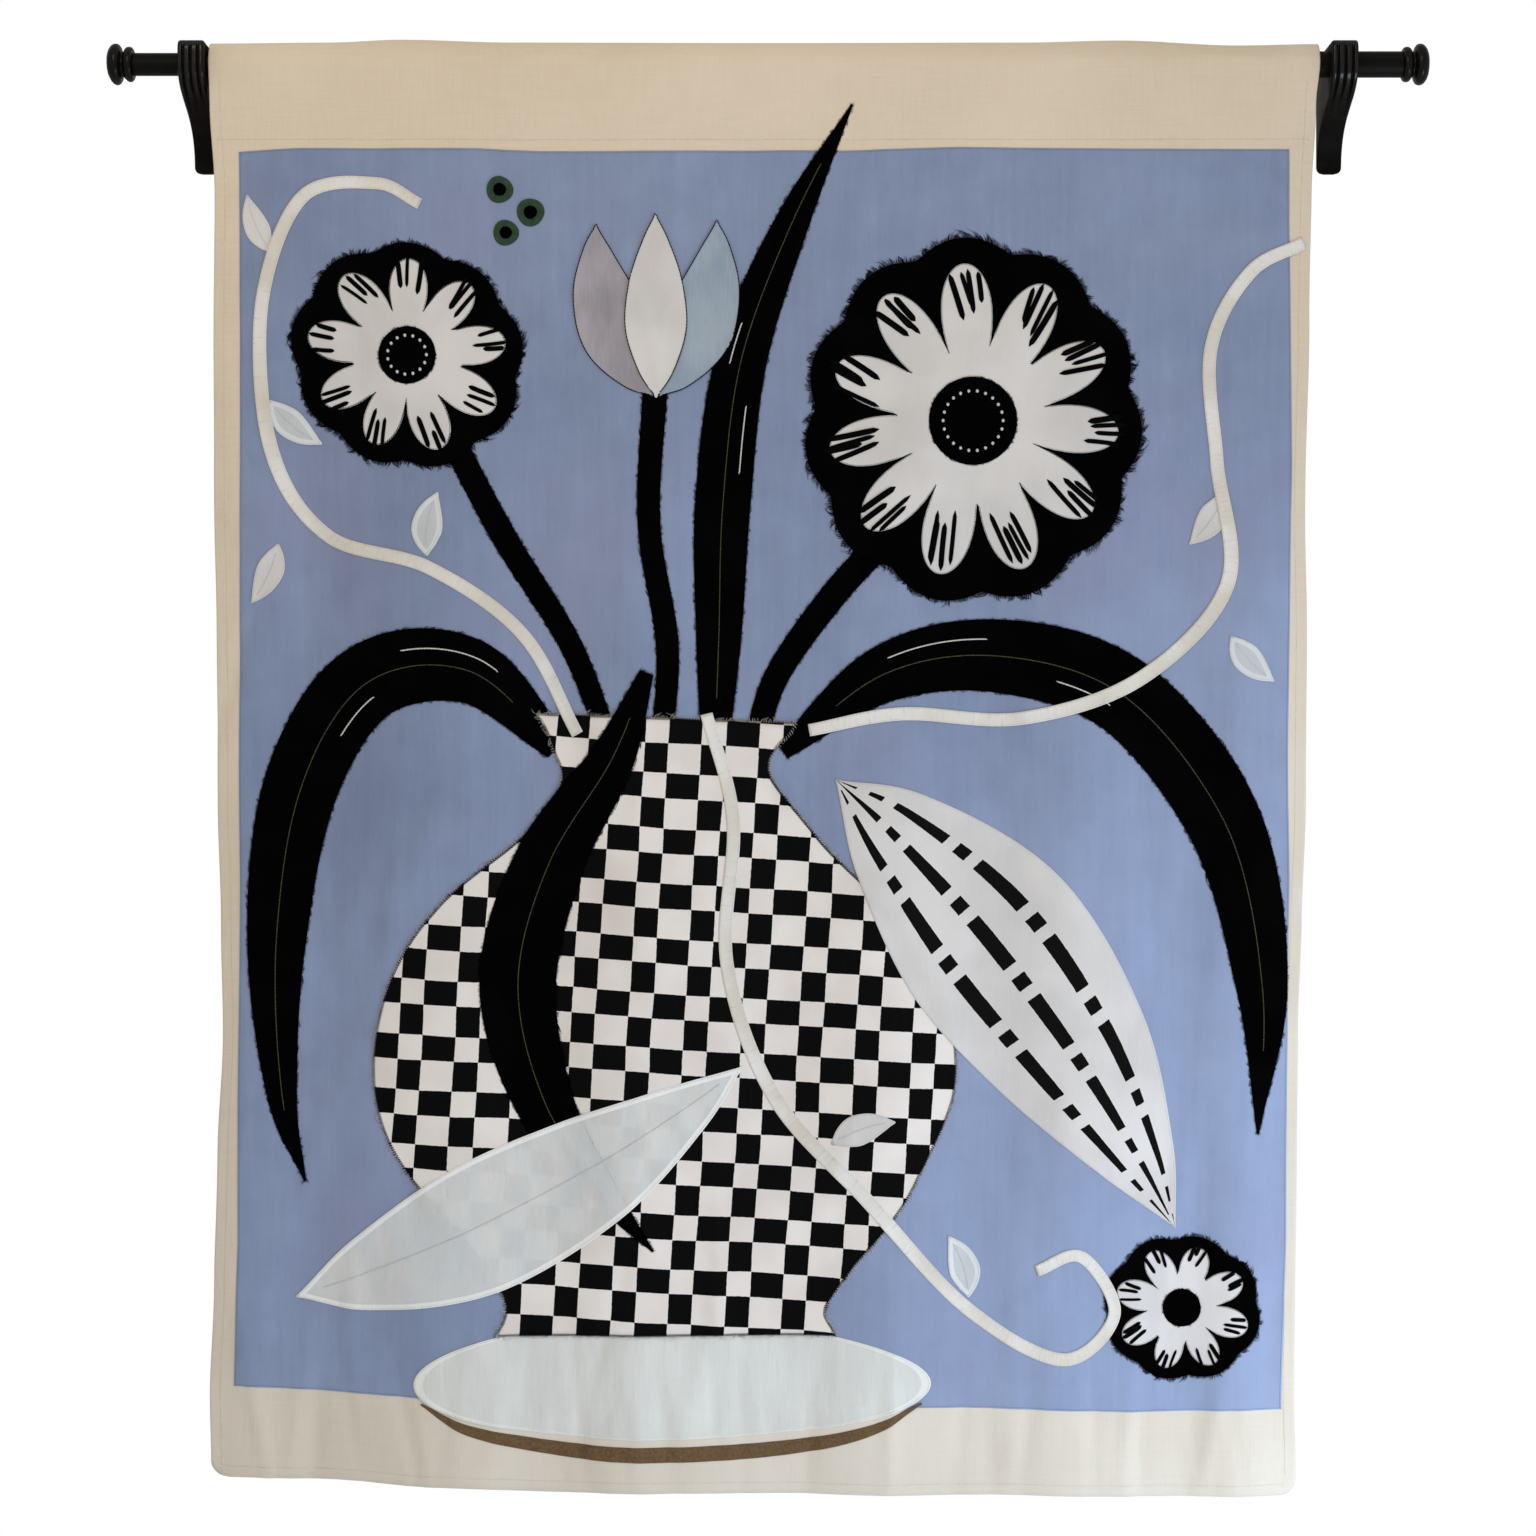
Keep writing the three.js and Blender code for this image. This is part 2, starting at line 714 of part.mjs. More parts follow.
// Vines of bias tape, sewn down last.
const VINES = {
  vine_left: {
    layer: 4,
    rows: table(
      "x z half",
      [-186, -656, 6],
      [-240, -558, 6.5],
      [-330, -494, 6.5],
      [-430, -462, 6.5],
      [-484, -380, 7],
      [-494, -240, 6.5],
      [-456, -134, 6.5],
      [-384, -118, 6],
      [-340, -138, 5.5],
    ),
  },
  vine_right: {
    layer: 3,
    rows: table(
      "x z half",
      [40, -652, 6],
      [130, -636, 6.5],
      [250, -640, 6.5],
      [366, -600, 7],
      [448, -510, 7],
      [438, -390, 6.5],
      [432, -280, 6.5],
      [470, -206, 6.5],
      [524, -176, 6],
    ),
  },
  vine_falling: {
    layer: 4,
    rows: table(
      "x z half",
      [-60, -636, 6],
      [-34, -740, 6.5],
      [-40, -880, 6.5],
      [6, -1010, 7],
      [96, -1110, 7],
      [196, -1218, 6.5],
      [288, -1266, 6.5],
      [338, -1222, 6],
      [306, -1166, 6],
      [262, -1180, 5.5],
    ),
  },
};
for (const [name, { layer, rows }] of Object.entries(VINES))
  patch(name, layer, ribbon(rows, 3 * (rows.length - 1)), CREAM, 0.8);

// Berries: small green rings on a stitched twig.
const BERRIES = table(
  "x z radius",
  [-262, -124, 13],
  [-232, -146, 13.5],
  [-256, -166, 12.5],
);
BERRIES.forEach(({ x, z, radius }, i) => {
  patch("berry_" + (i + 1), 2, ring(x, z, 16, () => radius), GREEN);
});

export default hanging;
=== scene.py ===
"""Looks of an applique wall hanging on its telescoping rod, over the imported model's frame.

Metres, +Z up, the wall is the plane Y = 0 and the hanging faces -Y. Tables are in millimetres,
the same as in the part's source, and are turned into metres where they are read.
"""

import bmesh
import bpy
import numpy as np
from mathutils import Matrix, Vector
from mathutils.geometry import tessellate_polygon


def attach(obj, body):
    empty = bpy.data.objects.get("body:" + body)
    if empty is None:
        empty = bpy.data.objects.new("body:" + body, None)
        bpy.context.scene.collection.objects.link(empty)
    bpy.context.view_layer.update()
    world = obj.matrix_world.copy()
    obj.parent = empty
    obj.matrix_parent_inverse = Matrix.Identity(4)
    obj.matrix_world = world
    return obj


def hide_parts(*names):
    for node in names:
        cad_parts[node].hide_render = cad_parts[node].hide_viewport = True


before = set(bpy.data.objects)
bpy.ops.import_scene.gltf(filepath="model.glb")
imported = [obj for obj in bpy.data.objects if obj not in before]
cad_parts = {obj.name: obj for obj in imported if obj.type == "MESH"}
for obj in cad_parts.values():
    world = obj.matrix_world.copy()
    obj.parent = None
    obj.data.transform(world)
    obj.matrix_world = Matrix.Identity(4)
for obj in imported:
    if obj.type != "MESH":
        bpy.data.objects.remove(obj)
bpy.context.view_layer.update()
MM = 0.001

# ---------------------------------------------------------------------------------------------
# Wall brackets. Two castings, each a deep arm 25 mm wide over a thin plate that is screwed to
# the wall. Three flutes run down the nose, and the rod passes through a closed eye. Dipped in
# gloss black enamel, which lies thinner and duller on the flat sides and the plate.

ROD_OUT = 70 * MM
BRACKET_APART = 1121.4 * MM
BRACKET_OUT = 100
BRACKET_TOP = 19
BRACKET_FOOT = 95
BRACKET_HALF = 12.5
BRACKET_ROUND = 2.3
BRACKET_FOOT_ROUND = 6.5
FLUTE_MIDDLES = (-7.15, 0, 7.15)
FLUTE_HALF = 2.1
FLUTE_DEPTH = 2.9
FLUTES_FROM = 44
FLUTES_OVER = 40
FLUTES_TOP = 17
FLUTES_TOP_FADE = 6
BRACKET_COLUMNS = 61
EYE_PLAY = 0.3
EYE_CORNERS = 48
# The clear coat's edge on the sides, from the side inwards, and the heights over which it ends.
COAT_EDGE = (1.2, 0.3)
COAT_END = (-38 * MM, -14 * MM)
RIGHT_TUBE = 12.7
LEFT_TUBE = 11.1


def quads(rows, columns, wrap=False):
    """Corner numbers of the cells between rows of points; wrap joins a row's end to its start."""
    i = np.arange(rows - 1)[:, None]
    j = np.arange(columns if wrap else columns - 1)[None, :]
    beside, here, below = (j + 1) % columns, i * columns, (i + 1) * columns
    corners = [here + j, here + beside, below + beside, below + j]
    return np.stack(np.broadcast_arrays(*corners), axis=-1).reshape(-1, 4)


def solid_piece(name, points, faces, uv=None):
    """Closed mesh object from (n, 3) points and arrays of faces, each array with its own number
    of corners. Faces are turned outwards, and uv is one pair for each point."""
    loops = np.concatenate([part.ravel() for part in faces]).astype(np.int32)
    sizes = np.concatenate([np.full(len(part), part.shape[1]) for part in faces])
    starts = (np.cumsum(sizes) - sizes).astype(np.int32)
    mesh = bpy.data.meshes.new(name)
    mesh.vertices.add(len(points))
    mesh.vertices.foreach_set("co", np.asarray(points, np.float32).ravel())
    mesh.loops.add(len(loops))
    mesh.loops.foreach_set("vertex_index", loops)
    mesh.polygons.add(len(sizes))
    mesh.polygons.foreach_set("loop_start", starts)
    if uv is not None:
        layer = mesh.uv_layers.new(name="Flat")
        layer.data.foreach_set("uv", np.asarray(uv, np.float32)[loops].ravel())
    mesh.update(calc_edges=True)
    mesh.validate()
    shell = bmesh.new()
    shell.from_mesh(mesh)
    bmesh.ops.recalc_face_normals(shell, faces=shell.faces)
    shell.to_mesh(mesh)
    shell.free()
    mesh.polygons.foreach_set("use_smooth", np.ones(len(mesh.polygons), bool))
    piece = bpy.data.objects.new(name, mesh)
    bpy.context.scene.collection.objects.link(piece)
    return piece


def fit(piece, finish, slot, *nodes):
    """Gives a piece its finish, lets it ride on the part and stand for its nodes. The slot is not
    used.
    """
    piece.data.materials.append(finish)
    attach(piece, "root")
    if nodes:
        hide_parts(*nodes)


class Reading:
    """A value that leaves a shader node. Arithmetic on it adds Math nodes."""

    def __init__(self, finish, socket):
        self.finish = finish
        self.socket = socket

    def math(self, operation, first, second=0.0):
        return self.finish.node("ShaderNodeMath", {"operation": operation}, {0: first, 1: second})

    def __add__(self, other):
        return self.math("ADD", self, other)

    __radd__ = __add__

    def __sub__(self, other):
        return self.math("SUBTRACT", self, other)

    def __rsub__(self, other):
        return self.math("SUBTRACT", other, self)

    def __mul__(self, other):
        return self.math("MULTIPLY", self, other)

    __rmul__ = __mul__

    def __mod__(self, other):
        return self.math("FLOORED_MODULO", self, other)

    def __lt__(self, other):
        return self.math("LESS_THAN", self, other)

    def __abs__(self):
        return self.math("ABSOLUTE", self)

    def sine(self):
        return self.math("SINE", self)


class Finish:
    """A material in the making, on the piece's own coordinates in metres."""

    def __init__(self, name):
        self.material = bpy.data.materials.new(name)
        self.material.use_nodes = True
        self.tree = self.material.node_tree
        self.shader = self.tree.nodes["Principled BSDF"]

    def feed(self, node, values):
        """Links or sets a node's sockets. A colour is three numbers, always opaque."""
        for key, value in values.items():
            socket = node.inputs[key]
            if isinstance(value, Reading):
                self.tree.links.new(value.socket, socket)
            else:
                socket.default_value = (*value, 1) if socket.type == "RGBA" else value

    def node(self, kind, settings=None, values=None, out=0):
        """Adds a node of a type, applies its settings, then its sockets' values or links."""
        made = self.tree.nodes.new(kind)
        for key, value in (settings or {}).items():
            setattr(made, key, value)
        self.feed(made, values or {})
        return Reading(self, made.outputs[out])

    def place(self, scale=(1, 1, 1), turn=(0, 0, 0), uv=False):
        """Object coordinates, or the piece's own flat map, stretched and turned."""
        if uv:
            spot = self.node("ShaderNodeUVMap", {"uv_map": "Flat"})
        else:
            spot = self.node("ShaderNodeTexCoord", out=3)
        values = {"Vector": spot, "Scale": scale, "Rotation": turn}
        return self.node("ShaderNodeMapping", {}, values)

    def parts(self, vector):
        split = self.tree.nodes.new("ShaderNodeSeparateXYZ")
        self.feed(split, {0: vector})
        return [Reading(self, socket) for socket in split.outputs]

    def noise(self, scale, detail=2.0, roughness=0.5, **place):
        """Noise, its scale in cycles a metre either one number or one for each axis."""
        if isinstance(scale, tuple):
            place["scale"], scale = scale, 1
        vector = self.place(**place)
        values = {"Vector": vector, "Scale": scale, "Detail": detail, "Roughness": roughness}
        return self.node("ShaderNodeTexNoise", {}, values)

    def rise(self, value, low, high, to=(0.0, 1.0)):
        """Smooth step from to[0] at low to to[1] at high."""
        values = {0: value, 1: low, 2: high, 3: to[0], 4: to[1]}
        return self.node("ShaderNodeMapRange", {"interpolation_type": "SMOOTHSTEP"}, values)

    def blend(self, share, first, second):
        """Colour between first and second by share."""
        values = {0: share, 6: first, 7: second}
        return self.node("ShaderNodeMix", {"data_type": "RGBA"}, values, out=2)

    def fade(self, value, low, high, first, second):
        """Colour that goes from first to second while a value rises from low to high."""
        return self.blend(self.rise(value, low, high), first, second)

    def weave(self, pitch):
        """Height of a plain weave: the product of two sines whose half waves are one thread."""
        x, _, z = self.parts(self.place(scale=(np.pi / pitch,) * 3))
        return x.sine() * z.sine()

    def paint(self, base, rough, height=None, depth=0.0, **sockets):
        """Ends the material: colour, roughness, bump of a depth in metres, and fixed sockets."""
        values = {"Base Color": base, "Roughness": rough}
        values.update({key.replace("_", " "): value for key, value in sockets.items()})
        if height is not None:
            bump = {"Height": height, "Distance": depth, "Strength": 1.0}
            values["Normal"] = self.node("ShaderNodeBump", {}, bump)
        self.feed(self.shader, values)
        return self.material


def bezier(corners, steps):
    """Curve of two to four control points: each is weighted by its Bernstein polynomial."""
    share = np.linspace(0, 1, steps + 1)[1:, None]
    level = [np.array(corner, float) for corner in corners]
    while len(level) > 1:
        level = [a + (b - a) * share for a, b in zip(level, level[1:])]
    return level[0]


def bracket_side():
    """Side outline as distance from the wall and height: foot, underside, nose, top and back."""
    out, top, foot = BRACKET_OUT, BRACKET_TOP, -BRACKET_FOOT
    runs = [
        bezier([(0, foot), (0.05 * out, foot)], 3),
        bezier([(0.05 * out, foot), (0.02 * out, -38), (0.78 * out, -44), (0.96 * out, -17)], 110),
        bezier([(0.96 * out, -17), (out, -12), (out, -5)], 8),
        bezier([(out, -5), (out, 8)], 6),
        bezier([(out, 8), (out, top), (0.9 * out, top)], 14),
        bezier([(0.9 * out, top), (0, top)], 20),
        bezier([(0, top), (0, foot + 8)], 20),
        bezier([(0, foot + 8), (0, foot)], 10),
    ]
    return np.concatenate(runs)


def inwards(outline):
    """Unit normals of a closed outline that runs with its inside on the left."""
    along = np.roll(outline, -1, axis=0) - np.roll(outline, 1, axis=0)
    along /= np.linalg.norm(along, axis=1, keepdims=True)
    return np.stack([-along[:, 1], along[:, 0]], axis=-1)


def bracket(name, middle, tube_radius):
    """The side outline carried across the width. Near each side it draws in along its normals on
    a quarter circle, each flute cuts into the nose and underside by depth times cosine squared,
    and the foot narrows on a quarter circle."""
    outline = bracket_side()
    turn = np.linspace(0, np.pi / 2, 6)
    edge = BRACKET_HALF - BRACKET_ROUND * (1 - np.sin(turn))
    front = np.linspace(-edge[0], edge[0], BRACKET_COLUMNS)[1:-1]
    across = np.concatenate([-edge[::-1], front, edge])
    drawn_in = BRACKET_ROUND * (1 - np.cos(turn))
    inset = np.concatenate([drawn_in[::-1], np.zeros(len(front)), drawn_in])
    gap = np.min(np.abs(across[:, None] - np.array(FLUTE_MIDDLES)), axis=1)
    flute = FLUTE_DEPTH * np.cos(np.clip(gap / FLUTE_HALF, 0, 1) * np.pi / 2) ** 2
    out, height = outline.T
    nose = np.clip((out - FLUTES_FROM) / FLUTES_OVER, 0, 1)
    nose = nose * np.clip((FLUTES_TOP - height) / FLUTES_TOP_FADE, 0, 1)
    section = outline + (inset[:, None] + flute[:, None] * nose)[..., None] * inwards(outline)
    rows, columns = section.shape[:2]
    angle = np.linspace(0, 2 * np.pi, EYE_CORNERS, endpoint=False)
    radius = tube_radius + EYE_PLAY
    eye = np.stack([ROD_OUT / MM + radius * np.cos(angle), radius * np.sin(angle)], axis=-1)
    low = np.clip(1 - (height + BRACKET_FOOT) / BRACKET_FOOT_ROUND, 0, 1)
    narrow = 1 - (1 - np.sqrt(1 - low**2)) * BRACKET_FOOT_ROUND / BRACKET_HALF
    body = np.dstack([across[:, None] * narrow, -section[..., 0], section[..., 1]]).reshape(-1, 3)
    rims = [
        np.column_stack([np.full(EYE_CORNERS, x), -eye[:, 0], eye[:, 1]])
        for x in (across[0], across[-1])
    ]
    points = np.concatenate([body, *rims]) * MM
    points[:, 0] += middle
    bore = quads(2, EYE_CORNERS, wrap=True) + len(body)
    faces = [np.concatenate([quads(rows, columns, wrap=True), bore])]
    loops = [[Vector((*point, 0)) for point in loop] for loop in (section[0], eye)]
    cap = np.array(tessellate_polygon(loops))
    for end, rim in ((0, len(body)), ((rows - 1) * columns, len(body) + EYE_CORNERS)):
        faces.append(np.concatenate([end + np.arange(columns), rim + np.arange(EYE_CORNERS)])[cap])
    return solid_piece(name, points, faces)


def gloss_enamel(name, dull_sides=False):
    """Black enamel with slight runs, lighter worn patches here and there and a wandering gloss. Its
    clear coat stops at a bracket's flat sides, which lie half a width from the bracket's middle,
    and below its arm."""
    finish = Finish(name)
    worn = finish.rise(finish.noise(60, 4), 0.55, 0.75)
    base = finish.blend(worn, (0.0040, 0.0040, 0.0036), (0.0095, 0.0092, 0.0080))
    rough = 0.30 + finish.noise(35, 3) * 0.16 + worn * 0.12
    coat = 0.2
    if dull_sides:
        across, _, up = finish.parts(finish.place())
        side = abs(abs(across) - BRACKET_APART / 2)
        edge = [(BRACKET_HALF - inset) * MM for inset in COAT_EDGE]
        coat = finish.rise(side, *edge, to=(0.5, 0.0)) * finish.rise(up, *COAT_END)
        rough = rough + (0.5 - coat) * 0.4
    gloss = {"Specular_IOR_Level": 0.05, "Coat_Weight": coat, "Coat_Roughness": 0.14}
    return finish.paint(base, rough, finish.noise(220, 3), 0.00010, **gloss)


enamel = gloss_enamel("gloss_black_casting", dull_sides=True)
for side, share, tube_radius in (("right", 0.5, RIGHT_TUBE), ("left", -0.5, LEFT_TUBE)):
    casting = bracket(f"cast_bracket_{side}", share * BRACKET_APART, tube_radius)
    casting.data.set_sharp_from_angle(angle=np.radians(50))
    fit(casting, enamel, "bracket_paint", f"bracket_{side}")

# ---------------------------------------------------------------------------------------------
# Rod. Two thin steel tubes, 1 inch and 7/8 inch, the left one sliding in the right one, painted
# satin black with a brownish cast. A turned finial plugs into each outer end.

ROD_REACH = 620.7
TUBE_WALL = 1.3
RIM_ROLL = 0.4
TUBES = {
    "right": {"radius": RIGHT_TUBE, "start": -60, "end": ROD_REACH, "node": "rod_outer_tube"},
    "left": {"radius": LEFT_TUBE, "start": -ROD_REACH, "end": 100, "node": "rod_inner_tube"},
}
# Radius and distance beyond the tube's end, round the bead, the neck and the domed disc.
FINIAL = [
    (13.6, 0.3), (14.6, 0.4), (15.9, 1.2), (16.8, 2.5), (17.1, 4.3), (16.8, 6.1), (15.9, 7.5),
    (14.6, 8.4), (13.3, 8.9), (12.6, 9.6), (12.5, 10.6), (13.0, 11.4), (14.8, 11.9), (17.0, 12.6),
    (18.9, 13.9), (19.9, 15.7), (20.1, 17.6), (19.6, 19.6), (18.4, 21.4), (16.6, 22.7),
    (15.8, 23.4), (13.2, 24.5), (9.4, 25.3), (4.6, 25.6),
]
FINIAL_PLUG = 20
PLUG_PLAY = 0.3
ROUND_STEPS = 72


def belt(ring, other):
    """Cells between two rings of point numbers."""
    return np.stack([ring, np.roll(ring, -1), np.roll(other, -1), other], axis=-1)


def fan(ring, pole):
    """Triangles between a ring of point numbers and one point."""
    return np.stack([ring, np.roll(ring, -1), np.full(len(ring), pole)], axis=-1)


def turned(name, profile, at=0.0, facing=1):
    """Profile of (radius, along) pairs in millimetres turned round the rod's axis; a profile
    that doesn't close on itself closes on the axis at both ends."""
    radius, along = np.array(profile, float).T
    angle = np.linspace(0, 2 * np.pi, ROUND_STEPS, endpoint=False)
    x = np.repeat(along[:, None], ROUND_STEPS, 1) * facing
    points = np.dstack([x, radius[:, None] * np.cos(angle), radius[:, None] * np.sin(angle)])
    points = points.reshape(-1, 3) * MM + (at, -ROD_OUT, 0)
    ring = np.arange(ROUND_STEPS)
    cells = quads(len(profile), ROUND_STEPS, wrap=True)
    last = len(points) - ROUND_STEPS
    if np.allclose(profile[0], profile[-1]):
        cells[-ROUND_STEPS:] = belt(ring + last - ROUND_STEPS, ring)
        return solid_piece(name, points[:last], [cells])
    poles = [(at + along[end] * facing * MM, -ROD_OUT, 0) for end in (0, -1)]
    caps = [fan(ring, len(points)), fan(ring + last, len(points) + 1)]
    return solid_piece(name, np.concatenate([points, poles]), [cells, *caps])


def satin_paint():
    """Satin black paint on steel: drawn along the tube, with rubbed streaks where it slides."""
    finish = Finish("satin_black_paint")
    streak = finish.noise((6, 160, 160), 4, 0.6)
    speck = finish.noise(500)
    rubbed = finish.rise(streak, 0.5, 0.72)
    base = finish.blend(rubbed, (0.0032, 0.0031, 0.0025), (0.0075, 0.0068, 0.0050))
    rough = 0.42 + streak * 0.14 - rubbed * 0.06
    return finish.paint(base, rough, streak * 0.7 + speck * 0.3, 0.00008, Specular_IOR_Level=0.09)


paint = satin_paint()
knob_enamel = gloss_enamel("gloss_black_finial")
for side, tube in TUBES.items():
    outer, inner = tube["radius"], tube["radius"] - TUBE_WALL
    start, end = tube["start"], tube["end"]
    wall = [
        (inner, start + RIM_ROLL), (inner + RIM_ROLL, start), (outer - RIM_ROLL, start),
        (outer, start + RIM_ROLL), (outer, end - RIM_ROLL), (outer - RIM_ROLL, end),
        (inner + RIM_ROLL, end), (inner, end - RIM_ROLL), (inner, start + RIM_ROLL),
    ]
    rod = turned(f"steel_tube_{side}", wall)
    rod.data.set_sharp_from_angle(angle=np.radians(40))
    fit(rod, paint, "rod_paint", tube["node"])
    plug = inner - PLUG_PLAY
    profile = [(plug, -FINIAL_PLUG), (plug, FINIAL[0][1]), *FINIAL]
    facing = 1 if side == "right" else -1
    knob = turned(f"turned_finial_{side}", profile, facing * ROD_REACH * MM, facing)
    knob.data.set_sharp_from_angle(angle=np.radians(50))
    fit(knob, knob_enamel, "bracket_paint", f"finial_{side}")

# ---------------------------------------------------------------------------------------------
# Ground cloth. One length of cream cotton canvas that comes up the front, over the rod and down
# the back to the seam of its sleeve. Its sides and bottom are turned back 12 mm and stitched.

CANVAS = 0.7 * MM
SLEEVE_RADIUS = 15.2
SLEEVE_SEAM = 76
SWING_BACK = 6
SWING_FROM = 20
SWING_OVER = 140
FOLD_RISE = 420
HEM = 12
CORNER_ROUND = 11
HEM_INSETS = [HEM, 8, 4, 1.2, 0.3, 0]
HEM_DEPTHS = [0.85, 0.85, 0.85, 0.8, 0.62, 0.42]
HEM_ROLL = 0.35
FLAP_GAP = 1.0
FLAP_GAP_AT_SIDES = 2.9
CANVAS_STEPS = 178
FACE_CREASES = 70
# Middle, half width, depth towards the wall, lean in a metre, and the drop where it begins.
FOLDS = np.array([
    (-512, 36, -5, 12, 120), (-436, 46, 6, -16, 60), (-335, 60, -7, 24, 150),
    (-218, 52, 5, 10, 200), (-112, 58, -6, -22, 90), (2, 70, 5, 18, 250),
    (118, 52, -5, -12, 120), (208, 55, 7, 22, 180), (312, 60, -6, -26, 80),
    (402, 42, 5, 10, 160), (468, 36, -7, -12, 220), (522, 30, 4, -8, 100),
])
# Knots of soft noise each way before it repeats, and how far its lattice is shifted.
LATTICE = 64
LATTICE_SHIFT = 200
# Height, slant, width, length and seed of each size of dapples.
DAPPLES = [(2.6, -0.35, 110, 150, 3), (1.7, 0.25, 46, 80, 4), (0.42, 0, 17, 34, 5)]
# Drop, and the left and right edges there.
SIDES = np.array([
    (0, -545.5, 538), (40, -544, 534), (125, -540, 530), (250, -541, 528), (430, -540, 524.5),
    (545, -538, 526.5), (720, -537, 525.5), (840, -534, 521.5), (950, -532, 517.7),
    (1070, -537, 516.6), (1190, -540, 514.8), (1305, -545, 513.8), (1370, -544, 515.3),
])
# Across, and the drop of the bottom edge there.
BOTTOM = np.array([
    (-545, 1377), (-525, 1381), (-437, 1384), (-320, 1390), (-200, 1396), (0, 1397.5),
    (220, 1399), (400, 1400), (500, 1399), (515, 1396),
])
# Across, and the height of the top edge there.
TOP = np.array([
    (-545, 20.5), (-430, 21.5), (-360, 24.3), (-250, 21.5), (0, 21), (250, 21.5), (345, 23.5),
    (460, 18.5), (538, 20),
])


def ease(share):
    """Smooth step from 0 to 1: 3 s squared less 2 s cubed."""
    s = np.clip(share, 0, 1)
    return s * s * (3 - 2 * s)


def reading(table, value, column=1):
    """Eased value of a table's column between the rows on either side of each value."""
    keys = table[:, 0]
    low = np.clip(np.searchsorted(keys, value, side="right") - 1, 0, len(keys) - 2)
    share = ease((value - keys[low]) / (keys[low + 1] - keys[low]))
    return table[low, column] * (1 - share) + table[low + 1, column] * share


def soft_noise(x, z, wide, tall, seed):
    """Smooth random relief from -1 to 1: seeded values on a lattice, eased between its knots."""
    knots = np.random.default_rng(seed).uniform(-1, 1, (LATTICE, LATTICE))
    u, v = x / wide + LATTICE_SHIFT, z / tall + LATTICE_SHIFT
    i, j = np.floor(u).astype(int), np.floor(v).astype(int)
    s, t = ease(u - i), ease(v - j)
    i, j, right, below = (part % LATTICE for part in (i, j, i + 1, j + 1))
    upper = knots[i, j] * (1 - s) + knots[right, j] * s
    lower = knots[i, below] * (1 - s) + knots[right, below] * s
    return upper * (1 - t) + lower * t


def drag_lines():
    """Seeded creases: middle, half width, half length, lean and depth of each. One row pulls up
    from the bottom hem, and the others hang here and there over the face."""
    dice = np.random.default_rng(11)
    hem_x = np.arange(-525, 505, 31) + dice.uniform(-11, 11, 34)
    ranges = [(-1353, -1317), (5.5, 9), (50, 95), (-0.2, 0.2), (-3.0, 3.0)]
    hem = np.column_stack([hem_x, *(dice.uniform(*ends, len(hem_x)) for ends in ranges)])
    ranges = [(-530, 515), (-1290, -110), (8, 15), (50, 150), (-0.4, 0.4), (-2.2, 2.2)]
    face = np.column_stack([dice.uniform(*ends, FACE_CREASES) for ends in ranges])
    return np.concatenate([hem, face])


DRAG_LINES = drag_lines()


def cloth_y(x, z):
    """Y in metres of the cloth's front at x and z in millimetres: straight under the rod, swung
    back, bell-shaped folds that deepen downwards, then shallow dapples and drag lines."""
    y = -ROD_OUT / MM - SLEEVE_RADIUS + SWING_BACK * ease((-z - SWING_FROM) / SWING_OVER)
    for middle, width, depth, lean, start in FOLDS:
        away = (x - middle + lean * z / 1000) / width
        y = y + depth * np.exp(-(away**2)) * ease((-z - start) / FOLD_RISE)
    below_sleeve = ease((-z - 40) / 60)
    for height, slant, wide, tall, seed in DAPPLES:
        y = y + below_sleeve * height * soft_noise(x + slant * z, z, wide, tall, seed)
    for middle, level, width, reach, lean, depth in DRAG_LINES:
        side = (x - middle - lean * (z - level)) / width
        y = y + depth * np.exp(-(side**2) - ((z - level) / reach) ** 2)
    return y * MM


def closed_sheet(name, upper, lower, wrap=False, uv=None):
    """Closed mesh between two grids of points, the two faces of one cloth. wrap joins the last
    column to the first, and then the first row closes on its middle point."""
    rows, columns = upper.shape[:2]
    count = rows * columns
    cells = quads(rows, columns, wrap)
    ring = np.arange(columns)
    if wrap:
        rim = (rows - 1) * columns + ring
    else:
        down = np.arange(1, rows) * columns
        rim = np.concatenate([ring, down + columns - 1, down[-1] + ring[-2::-1], down[-2::-1]])
    points = [upper.reshape(-1, 3), lower.reshape(-1, 3)]
    faces = [np.concatenate([cells, cells[:, ::-1] + count, belt(rim, rim + count)])]
    if wrap:
        points += [upper[:1].mean(axis=1), lower[:1].mean(axis=1)]
        faces += [fan(ring, 2 * count), fan(ring + count, 2 * count + 1)]
    flat = None
    if uv is not None:
        flat = np.concatenate([uv.reshape(-1, 2)] * 2 + ([uv[:1].mean(axis=1)] * 2 if wrap else []))
    return solid_piece(name, np.concatenate(points), faces, flat)


